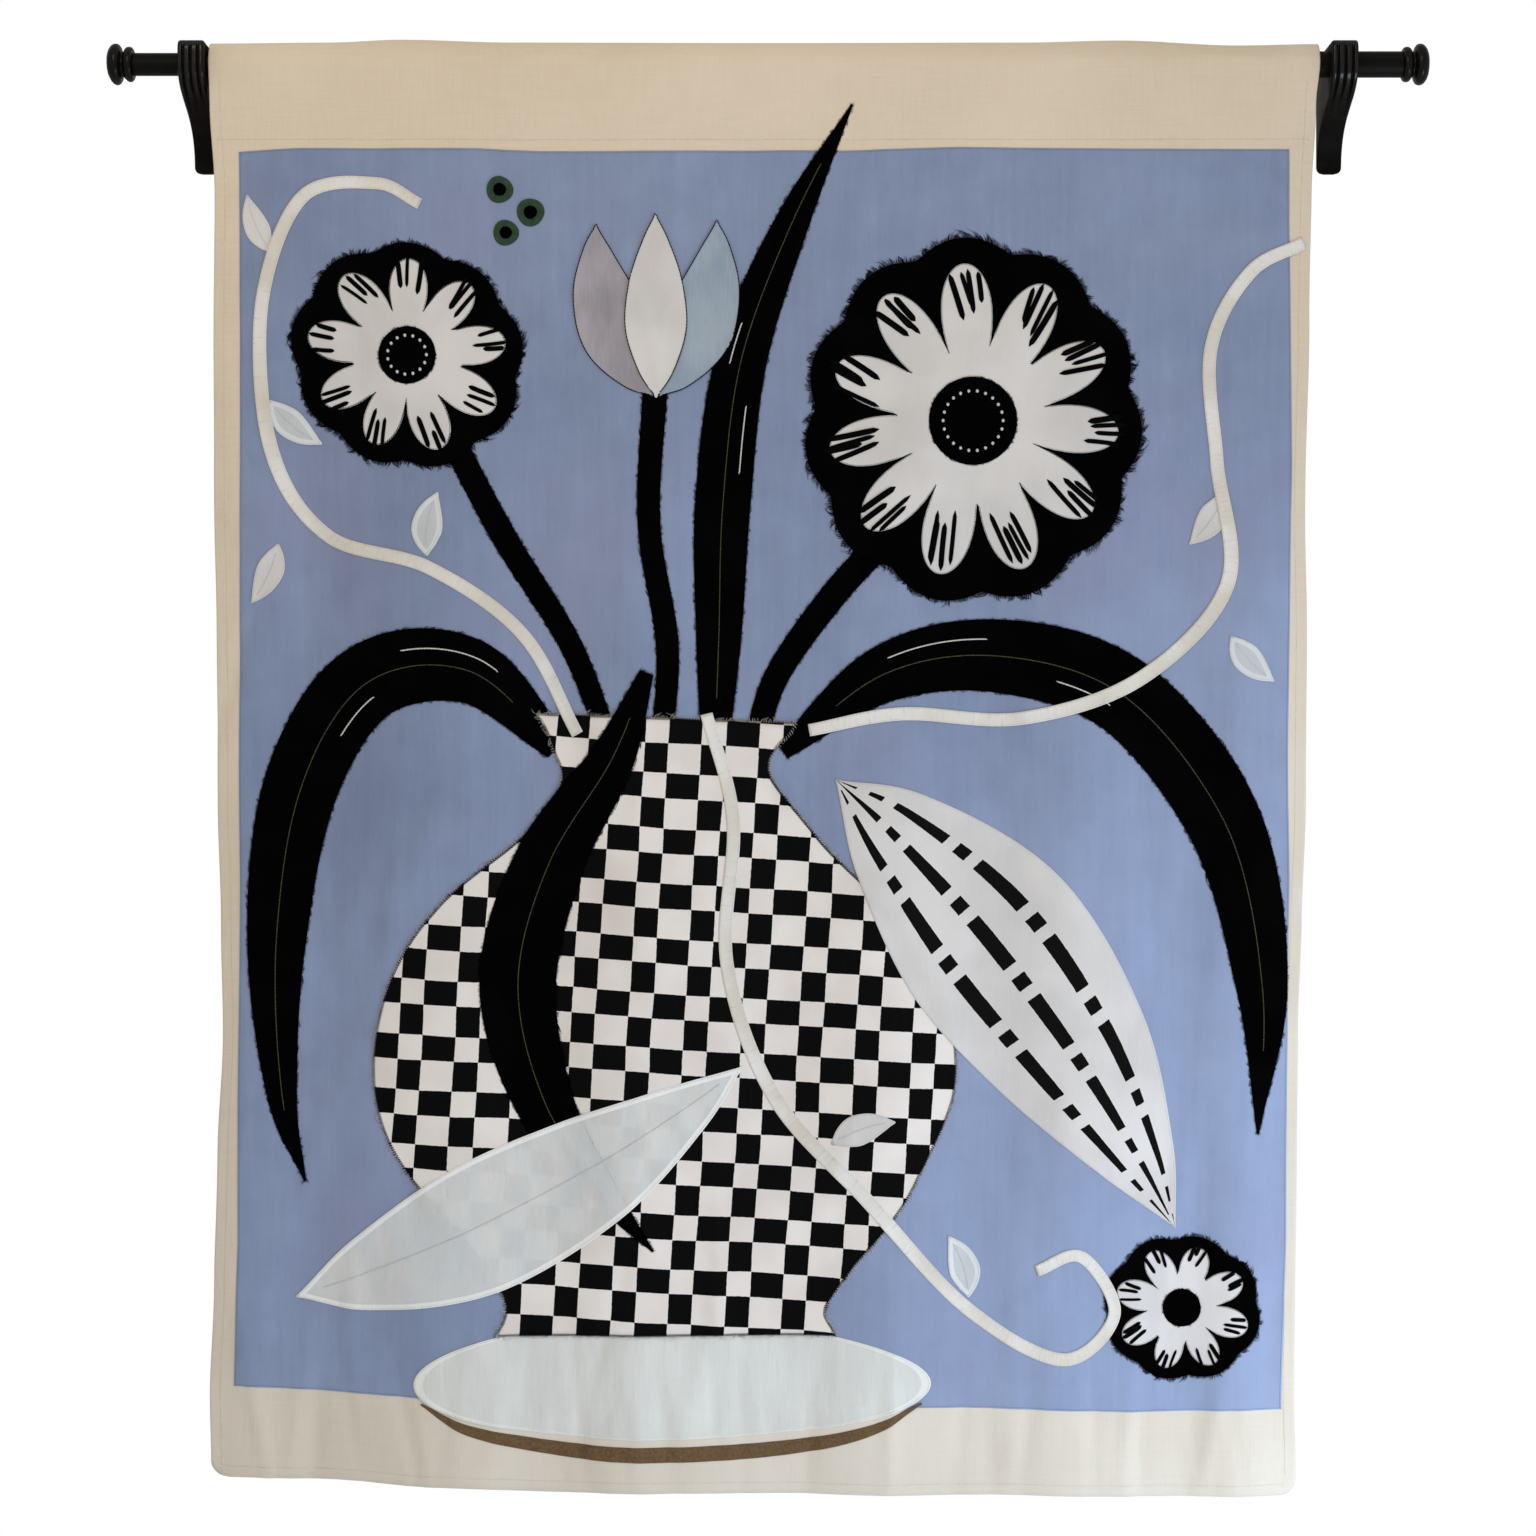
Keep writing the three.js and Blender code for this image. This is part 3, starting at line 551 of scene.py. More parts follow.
def ground_middle():
    """The canvas's middle surface. Across, each row runs from the left hem's raw edge round its
    fold, over the face and round the right fold; downwards, the rows run from the bottom flap
    round its fold, up the front, over the rod on half a circle, and down to the sleeve's edge."""
    hem_in, hem_back = np.array(HEM_INSETS), np.array(HEM_DEPTHS)
    share = np.linspace(0, 1, CANVAS_STEPS)[1:-1]
    near = np.array([0.3, 1.4, 4.0])
    x_share = np.concatenate([np.zeros(len(hem_in) + 3), share, np.ones(len(hem_in) + 3)])
    x_inset = np.concatenate([hem_in, near, np.zeros(len(share)), -near[::-1], -hem_in[::-1]])
    tuck_in = np.concatenate([hem_back, [0.12, 0, 0]])
    tuck = np.concatenate([tuck_in, np.zeros(len(share)), tuck_in[::-1]])
    flap = np.where((x_share > 0) & (x_share < 1), FLAP_GAP, FLAP_GAP_AT_SIDES)
    back_share = np.concatenate([np.linspace(0, 1, 14)[1:], [1.05, 1.105]])
    rows = []

    def across(z):
        left, right = reading(SIDES, -z, 1), reading(SIDES, -z, 2)
        return left + (right - left) * x_share + x_inset

    def lay(x, z, y):
        rows.append(np.stack([x * MM, y, np.broadcast_to(z, x.shape) * MM], axis=-1))

    low_x = across(np.full(x_share.shape, -BOTTOM[:, 1].max()))
    from_side = np.minimum(low_x - low_x.min(), low_x.max() - low_x)
    cut = np.clip(1 - from_side / CORNER_ROUND, 0, 1)
    floor = -reading(BOTTOM, low_x) + CORNER_ROUND * (1 - np.sqrt(1 - cut**2))
    for inset, depth in zip(HEM_INSETS, HEM_DEPTHS):
        back = flap * min(depth / 0.85, 1)
        z = floor + inset
        lay(low_x, z, cloth_y(low_x, z) + CANVAS / 2 + (back - tuck) * MM)
    for s in np.linspace(0, 1, CANVAS_STEPS):
        z = floor * (1 - s) + (0 if s else HEM_ROLL)
        x = across(z)
        lay(x, z, cloth_y(x, z) + CANVAS / 2 + tuck * MM)
    top_x = across(np.zeros(x_share.shape))
    crest = reading(TOP, top_x) - SLEEVE_RADIUS
    radius = SLEEVE_RADIUS - CANVAS / MM / 2 - tuck
    for angle in np.linspace(np.pi, 0, 15)[1:]:
        lift = crest * np.sin(angle) ** 2
        lay(top_x, (radius + lift) * np.sin(angle), -ROD_OUT + radius * MM * np.cos(angle))
    for s in back_share:
        z = np.full(top_x.shape, -SLEEVE_SEAM * s)
        x = across(z)
        loose = -ROD_OUT + (SLEEVE_RADIUS - CANVAS / MM / 2) * MM
        sewn = cloth_y(x, z) + CANVAS / 2 + flap * MM
        lay(x, z, loose + (sewn - loose) * ease(s) - tuck * MM)
    return np.array(rows)


def thick_sheet(name, middle, thickness):
    """A closed cloth half a thickness to either side of its middle surface, along its normals."""
    down, along = np.gradient(middle, axis=0), np.gradient(middle, axis=1)
    normal = np.cross(down, along)
    normal /= np.linalg.norm(normal, axis=-1, keepdims=True)
    return closed_sheet(name, middle + normal * thickness / 2, middle - normal * thickness / 2)


def canvas_cloth():
    """Cream canvas: plain weave with thicker threads here and there, faint foxing and creases, and
    painted shade that makes it warmer and a little darker towards the top and the left."""
    finish = Finish("cream_canvas")
    across, _, up = finish.parts(finish.place())
    slub_down = finish.noise((520, 520, 26))
    slub_across = finish.noise((22, 22, 560))
    crease = finish.noise((60, 60, 9), 3, 0.55)
    shade = finish.rise(finish.noise(5, 3), 0.3, 0.7)
    thread = finish.rise(slub_down * 0.5 + slub_across * 0.5, 0.36, 0.64)
    painted_lit_cream = finish.blend(shade, (0.675, 0.640, 0.570), (0.725, 0.700, 0.640))
    painted_shaded_cream = finish.blend(shade, (0.680, 0.590, 0.460), (0.735, 0.645, 0.520))
    # Painted light and shade: warmer and darker towards the top and left, lighter and cooler
    # towards the bottom right.
    base = finish.fade(up * 0.75 - across * 0.35, -1.25, 0.05, painted_lit_cream, painted_shaded_cream)
    base = finish.blend(thread * 0.25, base, (0.78, 0.73, 0.64))
    height = finish.weave(1.0 * MM) * 0.22 + slub_down * 0.5 + slub_across * 0.4 + crease * 3.0
    return finish.paint(base, 0.9 - thread * 0.1, height, 0.00022, Specular_IOR_Level=0.2)


canvas = canvas_cloth()
ground = thick_sheet("cream_ground_cloth", ground_middle(), CANVAS)
fit(ground, canvas, "cream_canvas", "ground_cloth")

# ---------------------------------------------------------------------------------------------
# Machine stitches. Short twisted threads that sink into the cloth at both ends, in rows that
# follow a hem or an edge. The first rows hold the side and bottom hems and the sleeve's seam.

STITCH_PITCH = 3.1
FINE_THREAD = 0.25
HEM_THREAD = 0.28
HEM_SEWN_AT = 10.2
STACK_LEFT = -560
STACK_DOWN = 1420
STACK_ACROSS = 1120
# How high cloth already lies above the canvas, on cells of 1 mm that start at STACK_LEFT.
stack = np.zeros((STACK_DOWN, STACK_ACROSS))


def height_at(field, x, z):
    """Value of a map of 1 mm cells between its four nearest cells, in millimetres."""
    u = np.clip(x - STACK_LEFT, 0, STACK_ACROSS - 1.001)
    v = np.clip(-z, 0, STACK_DOWN - 1.001)
    i, j = u.astype(int), v.astype(int)
    s, t = u - i, v - j
    upper = field[j, i] * (1 - s) + field[j, i + 1] * s
    lower = field[j + 1, i] * (1 - s) + field[j + 1, i + 1] * s
    return upper * (1 - t) + lower * t


def on_cloth(x, z, lift=0.0):
    """Points in metres that lie on whatever cloth is there, a lift in millimetres above it."""
    y = cloth_y(x, z) - (height_at(stack, x, z) + lift) * MM
    return np.stack([x * MM, y, z * MM], axis=-1)


def evenly(x, z, step, closed=False):
    """A line through corners, cut again to even steps of about the given length."""
    if closed:
        x, z = np.append(x, x[0]), np.append(z, z[0])
    length = np.concatenate([[0], np.cumsum(np.hypot(np.diff(x), np.diff(z)))])
    stops = np.linspace(0, length[-1], max(int(round(length[-1] / step)), 1) + 1)
    return np.interp(stops, length, x), np.interp(stops, length, z)


def spun(name, spines, radius, flat=1.0, corners=4):
    """One mesh of many threads. Each follows its row of (n, k, 3) points, and its section there
    is an ellipse as wide as twice its radius, (n, k), in metres, and flat times as thick."""
    count, stops = spines.shape[:2]
    corner = np.linspace(0, 2 * np.pi, corners, endpoint=False) + np.pi / corners
    outward = np.array([0.0, -1.0, 0.0])
    beside = np.cross(np.gradient(spines, axis=1), outward)
    beside /= np.maximum(np.linalg.norm(beside, axis=-1, keepdims=True), 1e-12)
    wide = radius[:, :, None, None] * np.cos(corner)[:, None] * beside[:, :, None]
    thick = radius[:, :, None, None] * np.sin(corner)[:, None] * outward * flat
    points = spines[:, :, None] + wide + thick
    first = np.arange(count)[:, None, None] * stops * corners
    cells = (quads(stops, corners, wrap=True)[None] + first).reshape(-1, 4)
    ring = np.arange(corners)
    caps = (np.array([ring, ring[::-1] + (stops - 1) * corners])[None] + first).reshape(-1, corners)
    return solid_piece(name, points.reshape(-1, 3), [cells, caps])


STITCH_SHARE = np.array([0.0, 0.2, 0.8, 1.0])
STITCH_SWELL = np.array([0.3, 1.0, 1.0, 0.3])
STITCH_ARCH = np.array([-0.5, 0.4, 0.4, -0.5])


def threads(name, starts, ends, radius):
    """Short stitches from starts to ends: low arches that sink into the cloth at both ends."""
    along = ends - starts
    arch = STITCH_ARCH[None, :, None] * radius * np.array([0.0, -1.0, 0.0])
    spines = starts[:, None] + along[:, None] * STITCH_SHARE[None, :, None] + arch
    return spun(name, spines, np.tile(STITCH_SWELL * radius, (len(starts), 1)))


def stitch_row(x, z, pitch=STITCH_PITCH, share=0.78, closed=False, lift=0.05):
    """Starts and ends of the stitches of one row along a line of corners in millimetres."""
    x, z = evenly(x, z, pitch, closed)
    from_x, from_z = x[:-1], z[:-1]
    to_x, to_z = from_x + np.diff(x) * share, from_z + np.diff(z) * share
    return on_cloth(from_x, from_z, lift), on_cloth(to_x, to_z, lift)


def sew(name, rows, radius, finish, slot):
    """Turns several stitch rows into one piece. The cells under its threads rise by a thread,
    so that the next cloth lies over them."""
    starts, ends = (np.concatenate(part) for part in zip(*rows))
    share = np.linspace(0, 1, 6)[:, None, None]
    x, _, z = np.moveaxis(starts + (ends - starts) * share, -1, 0) / MM
    cells = (-z).astype(int) * STACK_ACROSS + (x - STACK_LEFT).astype(int)
    stack.flat[np.unique(cells)] += 2 * radius
    fit(threads(name, starts, ends, radius * MM), finish, slot)


def thread_finish(name, dark, light, rough=0.6, shine=0.2):
    """Sewing thread: fine twisted streaks of two shades with a slight lustre."""
    finish = Finish(name)
    fleck = finish.noise(900)
    height = finish.noise((2600, 2600, 900), 1)
    base = finish.fade(fleck, 0.35, 0.65, dark, light)
    return finish.paint(base, rough + fleck * 0.2, height, 0.00006, Specular_IOR_Level=shine)


def hem_line(inset):
    """The line of the bottom and side hems' stitches, up one side, from left to right."""
    drop = np.linspace(20, 1380, 120)
    left = reading(SIDES, drop, 1) + inset
    right = reading(SIDES, drop, 2) - inset
    x = np.linspace(left[-1], right[-1], 90)
    return [(left, -drop), (x, -reading(BOTTOM, x) + inset), (right, -drop)]


cream_thread = thread_finish("cream_thread", (0.60, 0.53, 0.42), (0.76, 0.70, 0.60))
seam_x = np.linspace(-538, 528, 200)
hem_rows = [stitch_row(x, z) for x, z in hem_line(HEM_SEWN_AT)]
hem_rows.append(stitch_row(seam_x, np.full(200, -float(SLEEVE_SEAM))))
sew("hem_stitches", hem_rows, HEM_THREAD, cream_thread, "cream_canvas")

# ---------------------------------------------------------------------------------------------
# Blue field. A panel of grey-blue cotton laid inside the canvas's borders, its edges turned
# under and stitched down. The dye took unevenly in clouds, and painted shade makes it darker at
# the left and top.

FIELD = "blue_cotton_field"
SEWN_GAP = 0.12
EDGE_ROLL = 0.9
FOLD_LIFT = 0.28
TIP = 0.8
SPREAD = 3
DRAPE_MARGIN = 12
EDGE_STOPS = np.array([0, 0.3, 0.9, 1.8])
# Drop, and the field's left and right edges there; across, and its top and bottom edges there.
FIELD_SIDES = np.array([
    (86, -516, 508), (390, -514.5, 511.5), (680, -516, 508), (800, -515, 509.5),
    (1000, -517, 507), (1150, -517, 506), (1300, -521.5, 501.5),
])
FIELD_ENDS = np.array([
    (-516, 88, 1292), (-456, 84.5, 1296), (-281, 84.5, 1307), (-222, 87, 1309),
    (70, 86.5, 1313), (187, 83.5, 1314), (363, 85, 1318), (508, 86, 1315),
])
FIELD_WIDE = 1024
FIELD_TALL = 1226
FIELD_TOP = 86
FIELD_RIM = np.array([0, 0.3, 0.9, 1.8, 4.5])


def outline_of(plan):
    """The outer corners of a plan's grid, in order round the piece."""
    grid_x, grid_z, _, _, wrap = plan
    if wrap:
        return grid_x[-1], grid_z[-1]
    sides = [np.s_[0, :-1], np.s_[:-1, -1], np.s_[-1, :0:-1], np.s_[:0:-1, 0]]
    return tuple(np.concatenate([grid[side] for side in sides]) for grid in (grid_x, grid_z))


def filled(x, z):
    """Cells inside an outline: those with an odd number of its sides to their left."""
    level = np.arange(STACK_DOWN)[:, None] + 0.5
    to_x, down, to_down = np.roll(x, -1), -z, -np.roll(z, -1)
    row, side = np.nonzero((down[None] <= level) != (to_down[None] <= level))
    share = (level[row, 0] - down[side]) / (to_down[side] - down[side])
    column = np.ceil(x[side] + share * (to_x[side] - x[side]) - STACK_LEFT).astype(int)
    crossed = np.zeros((STACK_DOWN, STACK_ACROSS + 1), int)
    np.add.at(crossed, (row, np.clip(column, 0, STACK_ACROSS)), 1)
    return np.cumsum(crossed, axis=1)[:, :-1] % 2 == 1


def draped(x, z):
    """The stack as a cloth inside the outline lies on it: spread by a few cells and smoothed
    over as many, so that it slopes down beside each piece below."""
    left = int(x.min()) - STACK_LEFT - DRAPE_MARGIN
    right = int(x.max()) - STACK_LEFT + DRAPE_MARGIN
    up, low = int(-z.max()) - DRAPE_MARGIN, int(-z.min()) + DRAPE_MARGIN
    window = np.s_[max(up, 0):low, max(left, 0):right]
    spread = stack.copy()
    part = spread[window]
    for merge in (np.max, np.mean):
        for axis in (0, 1):
            part = merge([np.roll(part, k, axis) for k in range(-SPREAD, SPREAD + 1)], axis=0)
    spread[window] = np.maximum(part, spread[window])
    return spread


def lay_cloth(name, plan, finish, slot, nodes, flat, thick=0.5, fold=0.0):
    """Sews one cloth on. plan holds the grids x, z, inset (distance from its edge) and uv, and
    whether the grid closes on itself. Its underside follows what lies below, its face is a
    thickness above that and rolls down within a millimetre of the edge, and a folded edge is a
    little thicker as far as fold reaches."""
    x, z, inset, uv, wrap = plan
    edge_x, edge_z = outline_of(plan)
    spread = draped(edge_x, edge_z)
    under = height_at(spread, x, z) + SEWN_GAP
    roll = 0.35 + 0.65 * np.sqrt(1 - (1 - np.clip(inset / EDGE_ROLL, 0, 1)) ** 2)
    doubled = FOLD_LIFT * (1 - ease((inset - fold) / 1.6)) if fold else 0.0
    over = under + (thick + doubled) * roll
    back = cloth_y(x, z)
    faces = [np.stack([x * MM, back - height * MM, z * MM], axis=-1) for height in (over, under)]
    piece = closed_sheet(name, *faces, wrap=wrap, uv=uv)
    inside = filled(edge_x, edge_z)
    stack[inside] = (spread + SEWN_GAP + thick + (FOLD_LIFT if fold else 0.0))[inside]
    fit(piece, finish, slot, *nodes)
    width, length = (side * MM for side in flat)
    cut = np.abs(np.sum(edge_x * np.roll(edge_z, -1) - edge_z * np.roll(edge_x, -1))) / 2 * MM * MM
    area = min(cut, width * length)


def shares(size, steps):
    """Shares from one edge of the field to the other, closer together near both."""
    rim = FIELD_RIM / size
    return np.concatenate([rim, np.linspace(8, size - 8, steps) / size, 1 - rim[::-1]])


def field_plan():
    """Grid between the field's side, top and bottom edges, closer together near them. Each point
    is found by reading the edges at each other's value three times over."""
    s, t = np.meshgrid(shares(FIELD_WIDE, 146), shares(FIELD_TALL, 172))
    drop = FIELD_TOP + FIELD_TALL * t
    for _ in range(3):
        left, right = (np.interp(drop, FIELD_SIDES[:, 0], FIELD_SIDES[:, k]) for k in (1, 2))
        x = left + (right - left) * s
        top, bottom = (np.interp(x, FIELD_ENDS[:, 0], FIELD_ENDS[:, k]) for k in (1, 2))
        drop = top + (bottom - top) * t
    inset = np.minimum(np.minimum(x - left, right - x), np.minimum(drop - top, bottom - drop))
    return x, -drop, np.maximum(inset, 0), np.stack([x, -drop], axis=-1) * MM, False


def inner_line(plan, inset):
    """The piece's outline with each corner moved in by an inset, along its normal there."""
    edge_x, edge_z = outline_of(plan)
    along_x = np.roll(edge_x, -1) - np.roll(edge_x, 1)
    along_z = np.roll(edge_z, -1) - np.roll(edge_z, 1)
    turn = np.sign(np.sum(edge_x * np.roll(edge_z, -1) - edge_z * np.roll(edge_x, -1)))
    size = np.maximum(np.hypot(along_x, along_z), 1e-9)
    return edge_x - turn * along_z / size * inset, edge_z + turn * along_x / size * inset


def edge_row(plan, inset, pitch=STITCH_PITCH):
    """The stitches of one row all round a piece."""
    return stitch_row(*inner_line(plan, inset), pitch=pitch, closed=True)


def field_cotton():
    """Grey-blue cotton: uneven dye in broad clouds and soft and fine upright streaks, painted
    lighter towards the bottom and most of all to its right as painted light, and a fine weave."""
    finish = Finish("blue_cotton")
    across, _, up = finish.parts(finish.place())
    cloud = finish.noise(3.2, 3, 0.55)
    streak = finish.noise((34, 34, 4.5), 3, 0.55)
    fine = finish.noise((120, 120, 7), 3, 0.6)
    mottle = finish.noise(26, 4, 0.6)
    slub = finish.noise((700, 700, 30))
    # Painted light and shade: lighter towards the bottom and most of all to the right, darker at
    # the top and left.
    painted_light_slope = (across * -0.28 - 0.15) * up - 0.11
    tone = cloud * 0.6 + streak * 0.16 + fine * 0.18 + mottle * 0.26 + painted_light_slope - 0.09
    base = finish.fade(tone, 0.0, 1.0, (0.150, 0.200, 0.335), (0.315, 0.405, 0.625))
    warmer = finish.rise(finish.noise(7), 0.45, 0.75)
    base = finish.blend(warmer * 0.4, base, (0.250, 0.262, 0.430))
    base = finish.blend(slub * 0.14, base, (0.42, 0.48, 0.66))
    height = finish.weave(0.8 * MM) * 0.16 + slub * 0.35 + streak * 1.3 + mottle * 1.6
    return finish.paint(base, 0.86 - slub * 0.08, height, 0.00024, Specular_IOR_Level=0.2)


blue_thread = thread_finish("blue_thread", (0.15, 0.18, 0.30), (0.24, 0.28, 0.42))
plan = field_plan()
lay_cloth(
    FIELD, plan, field_cotton(), "blue_cotton", ["blue_field"], (1044, 1246),
    thick=0.4, fold=6.5,
)
sew("field_stitches", [edge_row(plan, 1.6)], FINE_THREAD, blue_thread, "blue_cotton")

# ---------------------------------------------------------------------------------------------
# Table mat. An oval of sheer ice-white organza across the field's lower edge, its rim turned
# under, with a narrow shadow of brown satin stitch below its front edge.

MAT = {"x": -96, "z": -1287, "half": 252, "squash": 0.23, "uneven": 0.02}
# Spine and half width of the band.
MAT_BAND = [
    (-338, -1309, 1), (-290, -1335, 5), (-200, -1354, 7), (-90, -1359, 7.5),
    (20, -1353, 7), (100, -1335, 5), (150, -1309, 1),
]
SATIN_PITCH = 0.42 * MM
# Least width in millimetres of a strip's cut, and what the cut adds to its width and length.
CUT_LEAST = 11
CUT_WIDER = 1.04
CUT_LONGER = 1.06


def disc_plan(x, z, radius_at, squash=1.0, step=4.5):
    """Grid of rings round a centre whose radius is a function of the angle. The last rings lie
    close together at the edge, and uv holds the inset and the distance round, in metres."""
    rough = radius_at(np.linspace(0, 2 * np.pi, 90)).max()
    angle = np.linspace(0, 2 * np.pi, max(int(2 * np.pi * rough / step), 28), endpoint=False)
    edge = radius_at(angle)[None]
    inner = np.linspace(0.05, 1 - EDGE_STOPS[-1] / rough, max(int(rough / step), 4))
    inner = inner[:-1, None] * edge
    reach = np.concatenate([inner, edge - EDGE_STOPS[::-1, None] * np.minimum(edge / 12, 1)])
    inset = (edge - reach) * (squash + 1) / 2
    spot_x, spot_z = x + reach * np.cos(angle), z + squash * reach * np.sin(angle)
    uv = np.stack([inset, np.broadcast_to(angle * rough, inset.shape)], axis=-1) * MM
    return spot_x, spot_z, inset, uv, True


def ribbon_plan(rows, step=4.5, across=10, lane="offset"):
    """Grid along a uniform Catmull-Rom spine through (x, z, half width) rows: its points lie to
    either side along the spine's normal. uv holds the offset in metres, the offset as a share of
    the half width, or the inset, and then the distance along the spine."""
    stops = np.array(rows, float)
    stops = np.concatenate([2 * stops[:1] - stops[1:2], stops, 2 * stops[-1:] - stops[-2:-1]])
    last = len(rows) - 1
    spans = np.hypot(*np.diff(stops[1:-1, :2], axis=0).T)
    parts = [np.arange(n) / n + i for i, n in enumerate(np.maximum((spans / step).astype(int), 2))]
    t = np.append(np.concatenate(parts), last)
    i = np.minimum(t.astype(int), last - 1)
    s = (t - i)[:, None]
    a, b, c, d = (stops[i + k] for k in range(4))
    slope, curve, twist = c - a, 2 * a - 5 * b + 4 * c - d, 3 * b - a - 3 * c + d
    spot = b + (slope * s + curve * s**2 + twist * s**3) / 2
    way = (slope + 2 * curve * s + 3 * twist * s**2) / 2
    way /= np.hypot(way[:, 0], way[:, 1])[:, None]
    half = np.maximum(spot[:, 2:], TIP)
    edge = EDGE_STOPS * np.minimum(half / 5, 1)
    middle = (half - edge[:, -1:]) * np.linspace(-1, 1, across)[1:-1]
    offset = np.concatenate([edge - half, middle, (half - edge)[:, ::-1]], axis=1)
    x = spot[:, :1] - offset * way[:, 1:2]
    z = spot[:, 1:2] + offset * way[:, :1]
    gone = np.cumsum(np.hypot(*np.diff(spot[:, :2], axis=0).T))
    along = np.append(0, gone)[:, None]
    inset = np.minimum(half - np.abs(offset), np.minimum(along, along[-1] - along) + 0.25)
    first = {"offset": offset * MM, "share": offset / half, "inset": inset * MM}[lane]
    return x, z, inset, np.stack([first, np.broadcast_to(along * MM, first.shape)], axis=-1), False


def cut_size(rows):
    """Width and length in millimetres of the strip that a ribbon is cut from."""
    table = np.array(rows, float)
    width = max(2 * table[:, 2].max(), CUT_LEAST)
    return width * CUT_WIDER, np.hypot(*np.diff(table[:, :2], axis=0).T).sum() * CUT_LONGER


def organza(name, tint, clear):
    """Sheer organza: what lies below shows faintly through, less so where the edge is doubled.
    Its uv holds the distance from the edge."""
    finish = Finish(name)
    inset, _, _ = finish.parts(finish.place(uv=True))
    doubled = 1 - finish.rise(inset, 5.2 * MM, 6.2 * MM)
    cloudy = finish.noise((24, 24, 9), 3, 0.6)
    crease = finish.noise((70, 70, 14), 3, 0.6)
    mesh = finish.weave(0.6 * MM)
    pale = [min(part * 1.1, 0.92) for part in tint]
    base = finish.fade(cloudy, 0.3, 0.7, tint, pale)
    alpha = clear + doubled * (0.97 - clear) + mesh * 0.02
    finish.feed(finish.shader, {"Alpha": alpha})
    height = mesh * 0.1 + crease * 5.5
    return finish.paint(base, 0.62 + cloudy * 0.15, height, 0.00022, Specular_IOR_Level=0.35)


def satin_stitch(name, dark, light):
    """Satin stitch: lustrous threads laid side by side across the band, each 0.4 mm wide."""
    finish = Finish(name)
    _, along, _ = finish.parts(finish.place(uv=True))
    wander = finish.noise(120) * 0.0006
    thread = ((along + wander) * (np.pi / SATIN_PITCH)).sine()
    fleck = finish.noise(420, 3)
    # Painted highlight and shade: each thread lighter on its crest and darker in the grooves
    # between threads.
    base = finish.fade(thread * 0.25 + fleck, 0.35, 0.8, dark, light)
    return finish.paint(base, 0.5 + fleck * 0.2, thread, 0.00009, Specular_IOR_Level=0.35)


white_thread = thread_finish("white_thread", (0.52, 0.52, 0.50), (0.72, 0.72, 0.70))
brown_stitch = satin_stitch("brown_satin_stitch", (0.085, 0.045, 0.016), (0.22, 0.135, 0.055))
lay_cloth(
    "mat_shadow_band", ribbon_plan(MAT_BAND, 2.5), brown_stitch, "brown_thread",
    ["table_mat_band"], cut_size(MAT_BAND), thick=0.8,
)


def mat_radius(angle):
    return MAT["half"] * (1 + MAT["uneven"] * np.cos(3 * angle + 1))


plan = disc_plan(MAT["x"], MAT["z"], mat_radius, MAT["squash"], 5.5)
mat_finish = organza("ice_organza_mat", (0.79, 0.825, 0.82), 0.78)
lay_cloth(
    "organza_mat", plan, mat_finish, "pale_organza", ["table_mat"], (516, 120),
    thick=0.35, fold=5.5,
)
sew("mat_stitches", [edge_row(plan, 1.5)], FINE_THREAD, white_thread, "pale_organza")

# ---------------------------------------------------------------------------------------------
# Stems and long black leaves. Deep black brushed cotton, sewn down flat, its raw edge frayed into
# a soft fringe of short threads. Olive midribs and short white arcs are worked on the leaves in
# stem stitch.

# Spine and half width of each stem and leaf.
BLACK_BANDS = {
    "stem_right": [(-14, -672, 11), (8, -600, 12), (64, -520, 13), (118, -462, 13)],
    "stem_middle": [(-104, -672, 10), (-98, -570, 11), (-116, -450, 11), (-110, -316, 12)],
    "stem_left": [(-152, -672, 10), (-192, -570, 11), (-256, -466, 12), (-306, -372, 12)],
    "leaf_left": [
        (-206, -668, 14), (-292, -594, 32), (-392, -606, 38), (-456, -706, 36),
        (-480, -860, 28), (-474, -1010, 14), (-452, -1092, 1),
    ],
    "leaf_upright": [
        (-52, -672, 13), (-48, -560, 22), (-44, -430, 27), (-26, -290, 25), (22, -160, 17),
        (82, -42, 1),
    ],
    "leaf_right": [
        (14, -672, 9), (116, -596, 28), (232, -580, 36), (352, -622, 38),
        (446, -744, 36), (482, -900, 26), (478, -1046, 1),
    ],
}
FRINGE_STEP = 1.0
FRINGE_SPREAD = 4
FRINGE_LIFT = 0.3
# Leaf, first and last share of its length, and share of its half width to one side.
WHITE_ARCS = [
    ("leaf_left", 0.12, 0.24, -0.45), ("leaf_left", 0.30, 0.38, 0.4),
    ("leaf_right", 0.16, 0.27, 0.45), ("leaf_right", 0.36, 0.43, -0.4),
    ("leaf_upright", 0.42, 0.52, -0.5), ("leaf_upright", 0.58, 0.64, 0.4),
]


def black_cotton():
    """Deep black brushed cotton: almost no light comes back but a faint nap."""
    finish = Finish("black_brushed_cotton")
    nap = finish.noise(700, 3)
    patchy = finish.noise(18, 3)
    base = finish.fade(patchy, 0.4, 0.7, (0.0007, 0.0007, 0.0008), (0.0014, 0.0014, 0.0016))
    base = finish.blend(finish.rise(nap, 0.58, 0.8) * 0.4, base, (0.0048, 0.0048, 0.0054))
    rough = 0.95 + patchy * 0.04
    return finish.paint(base, rough, nap + patchy * 2, 0.00018, Specular_IOR_Level=0.012)


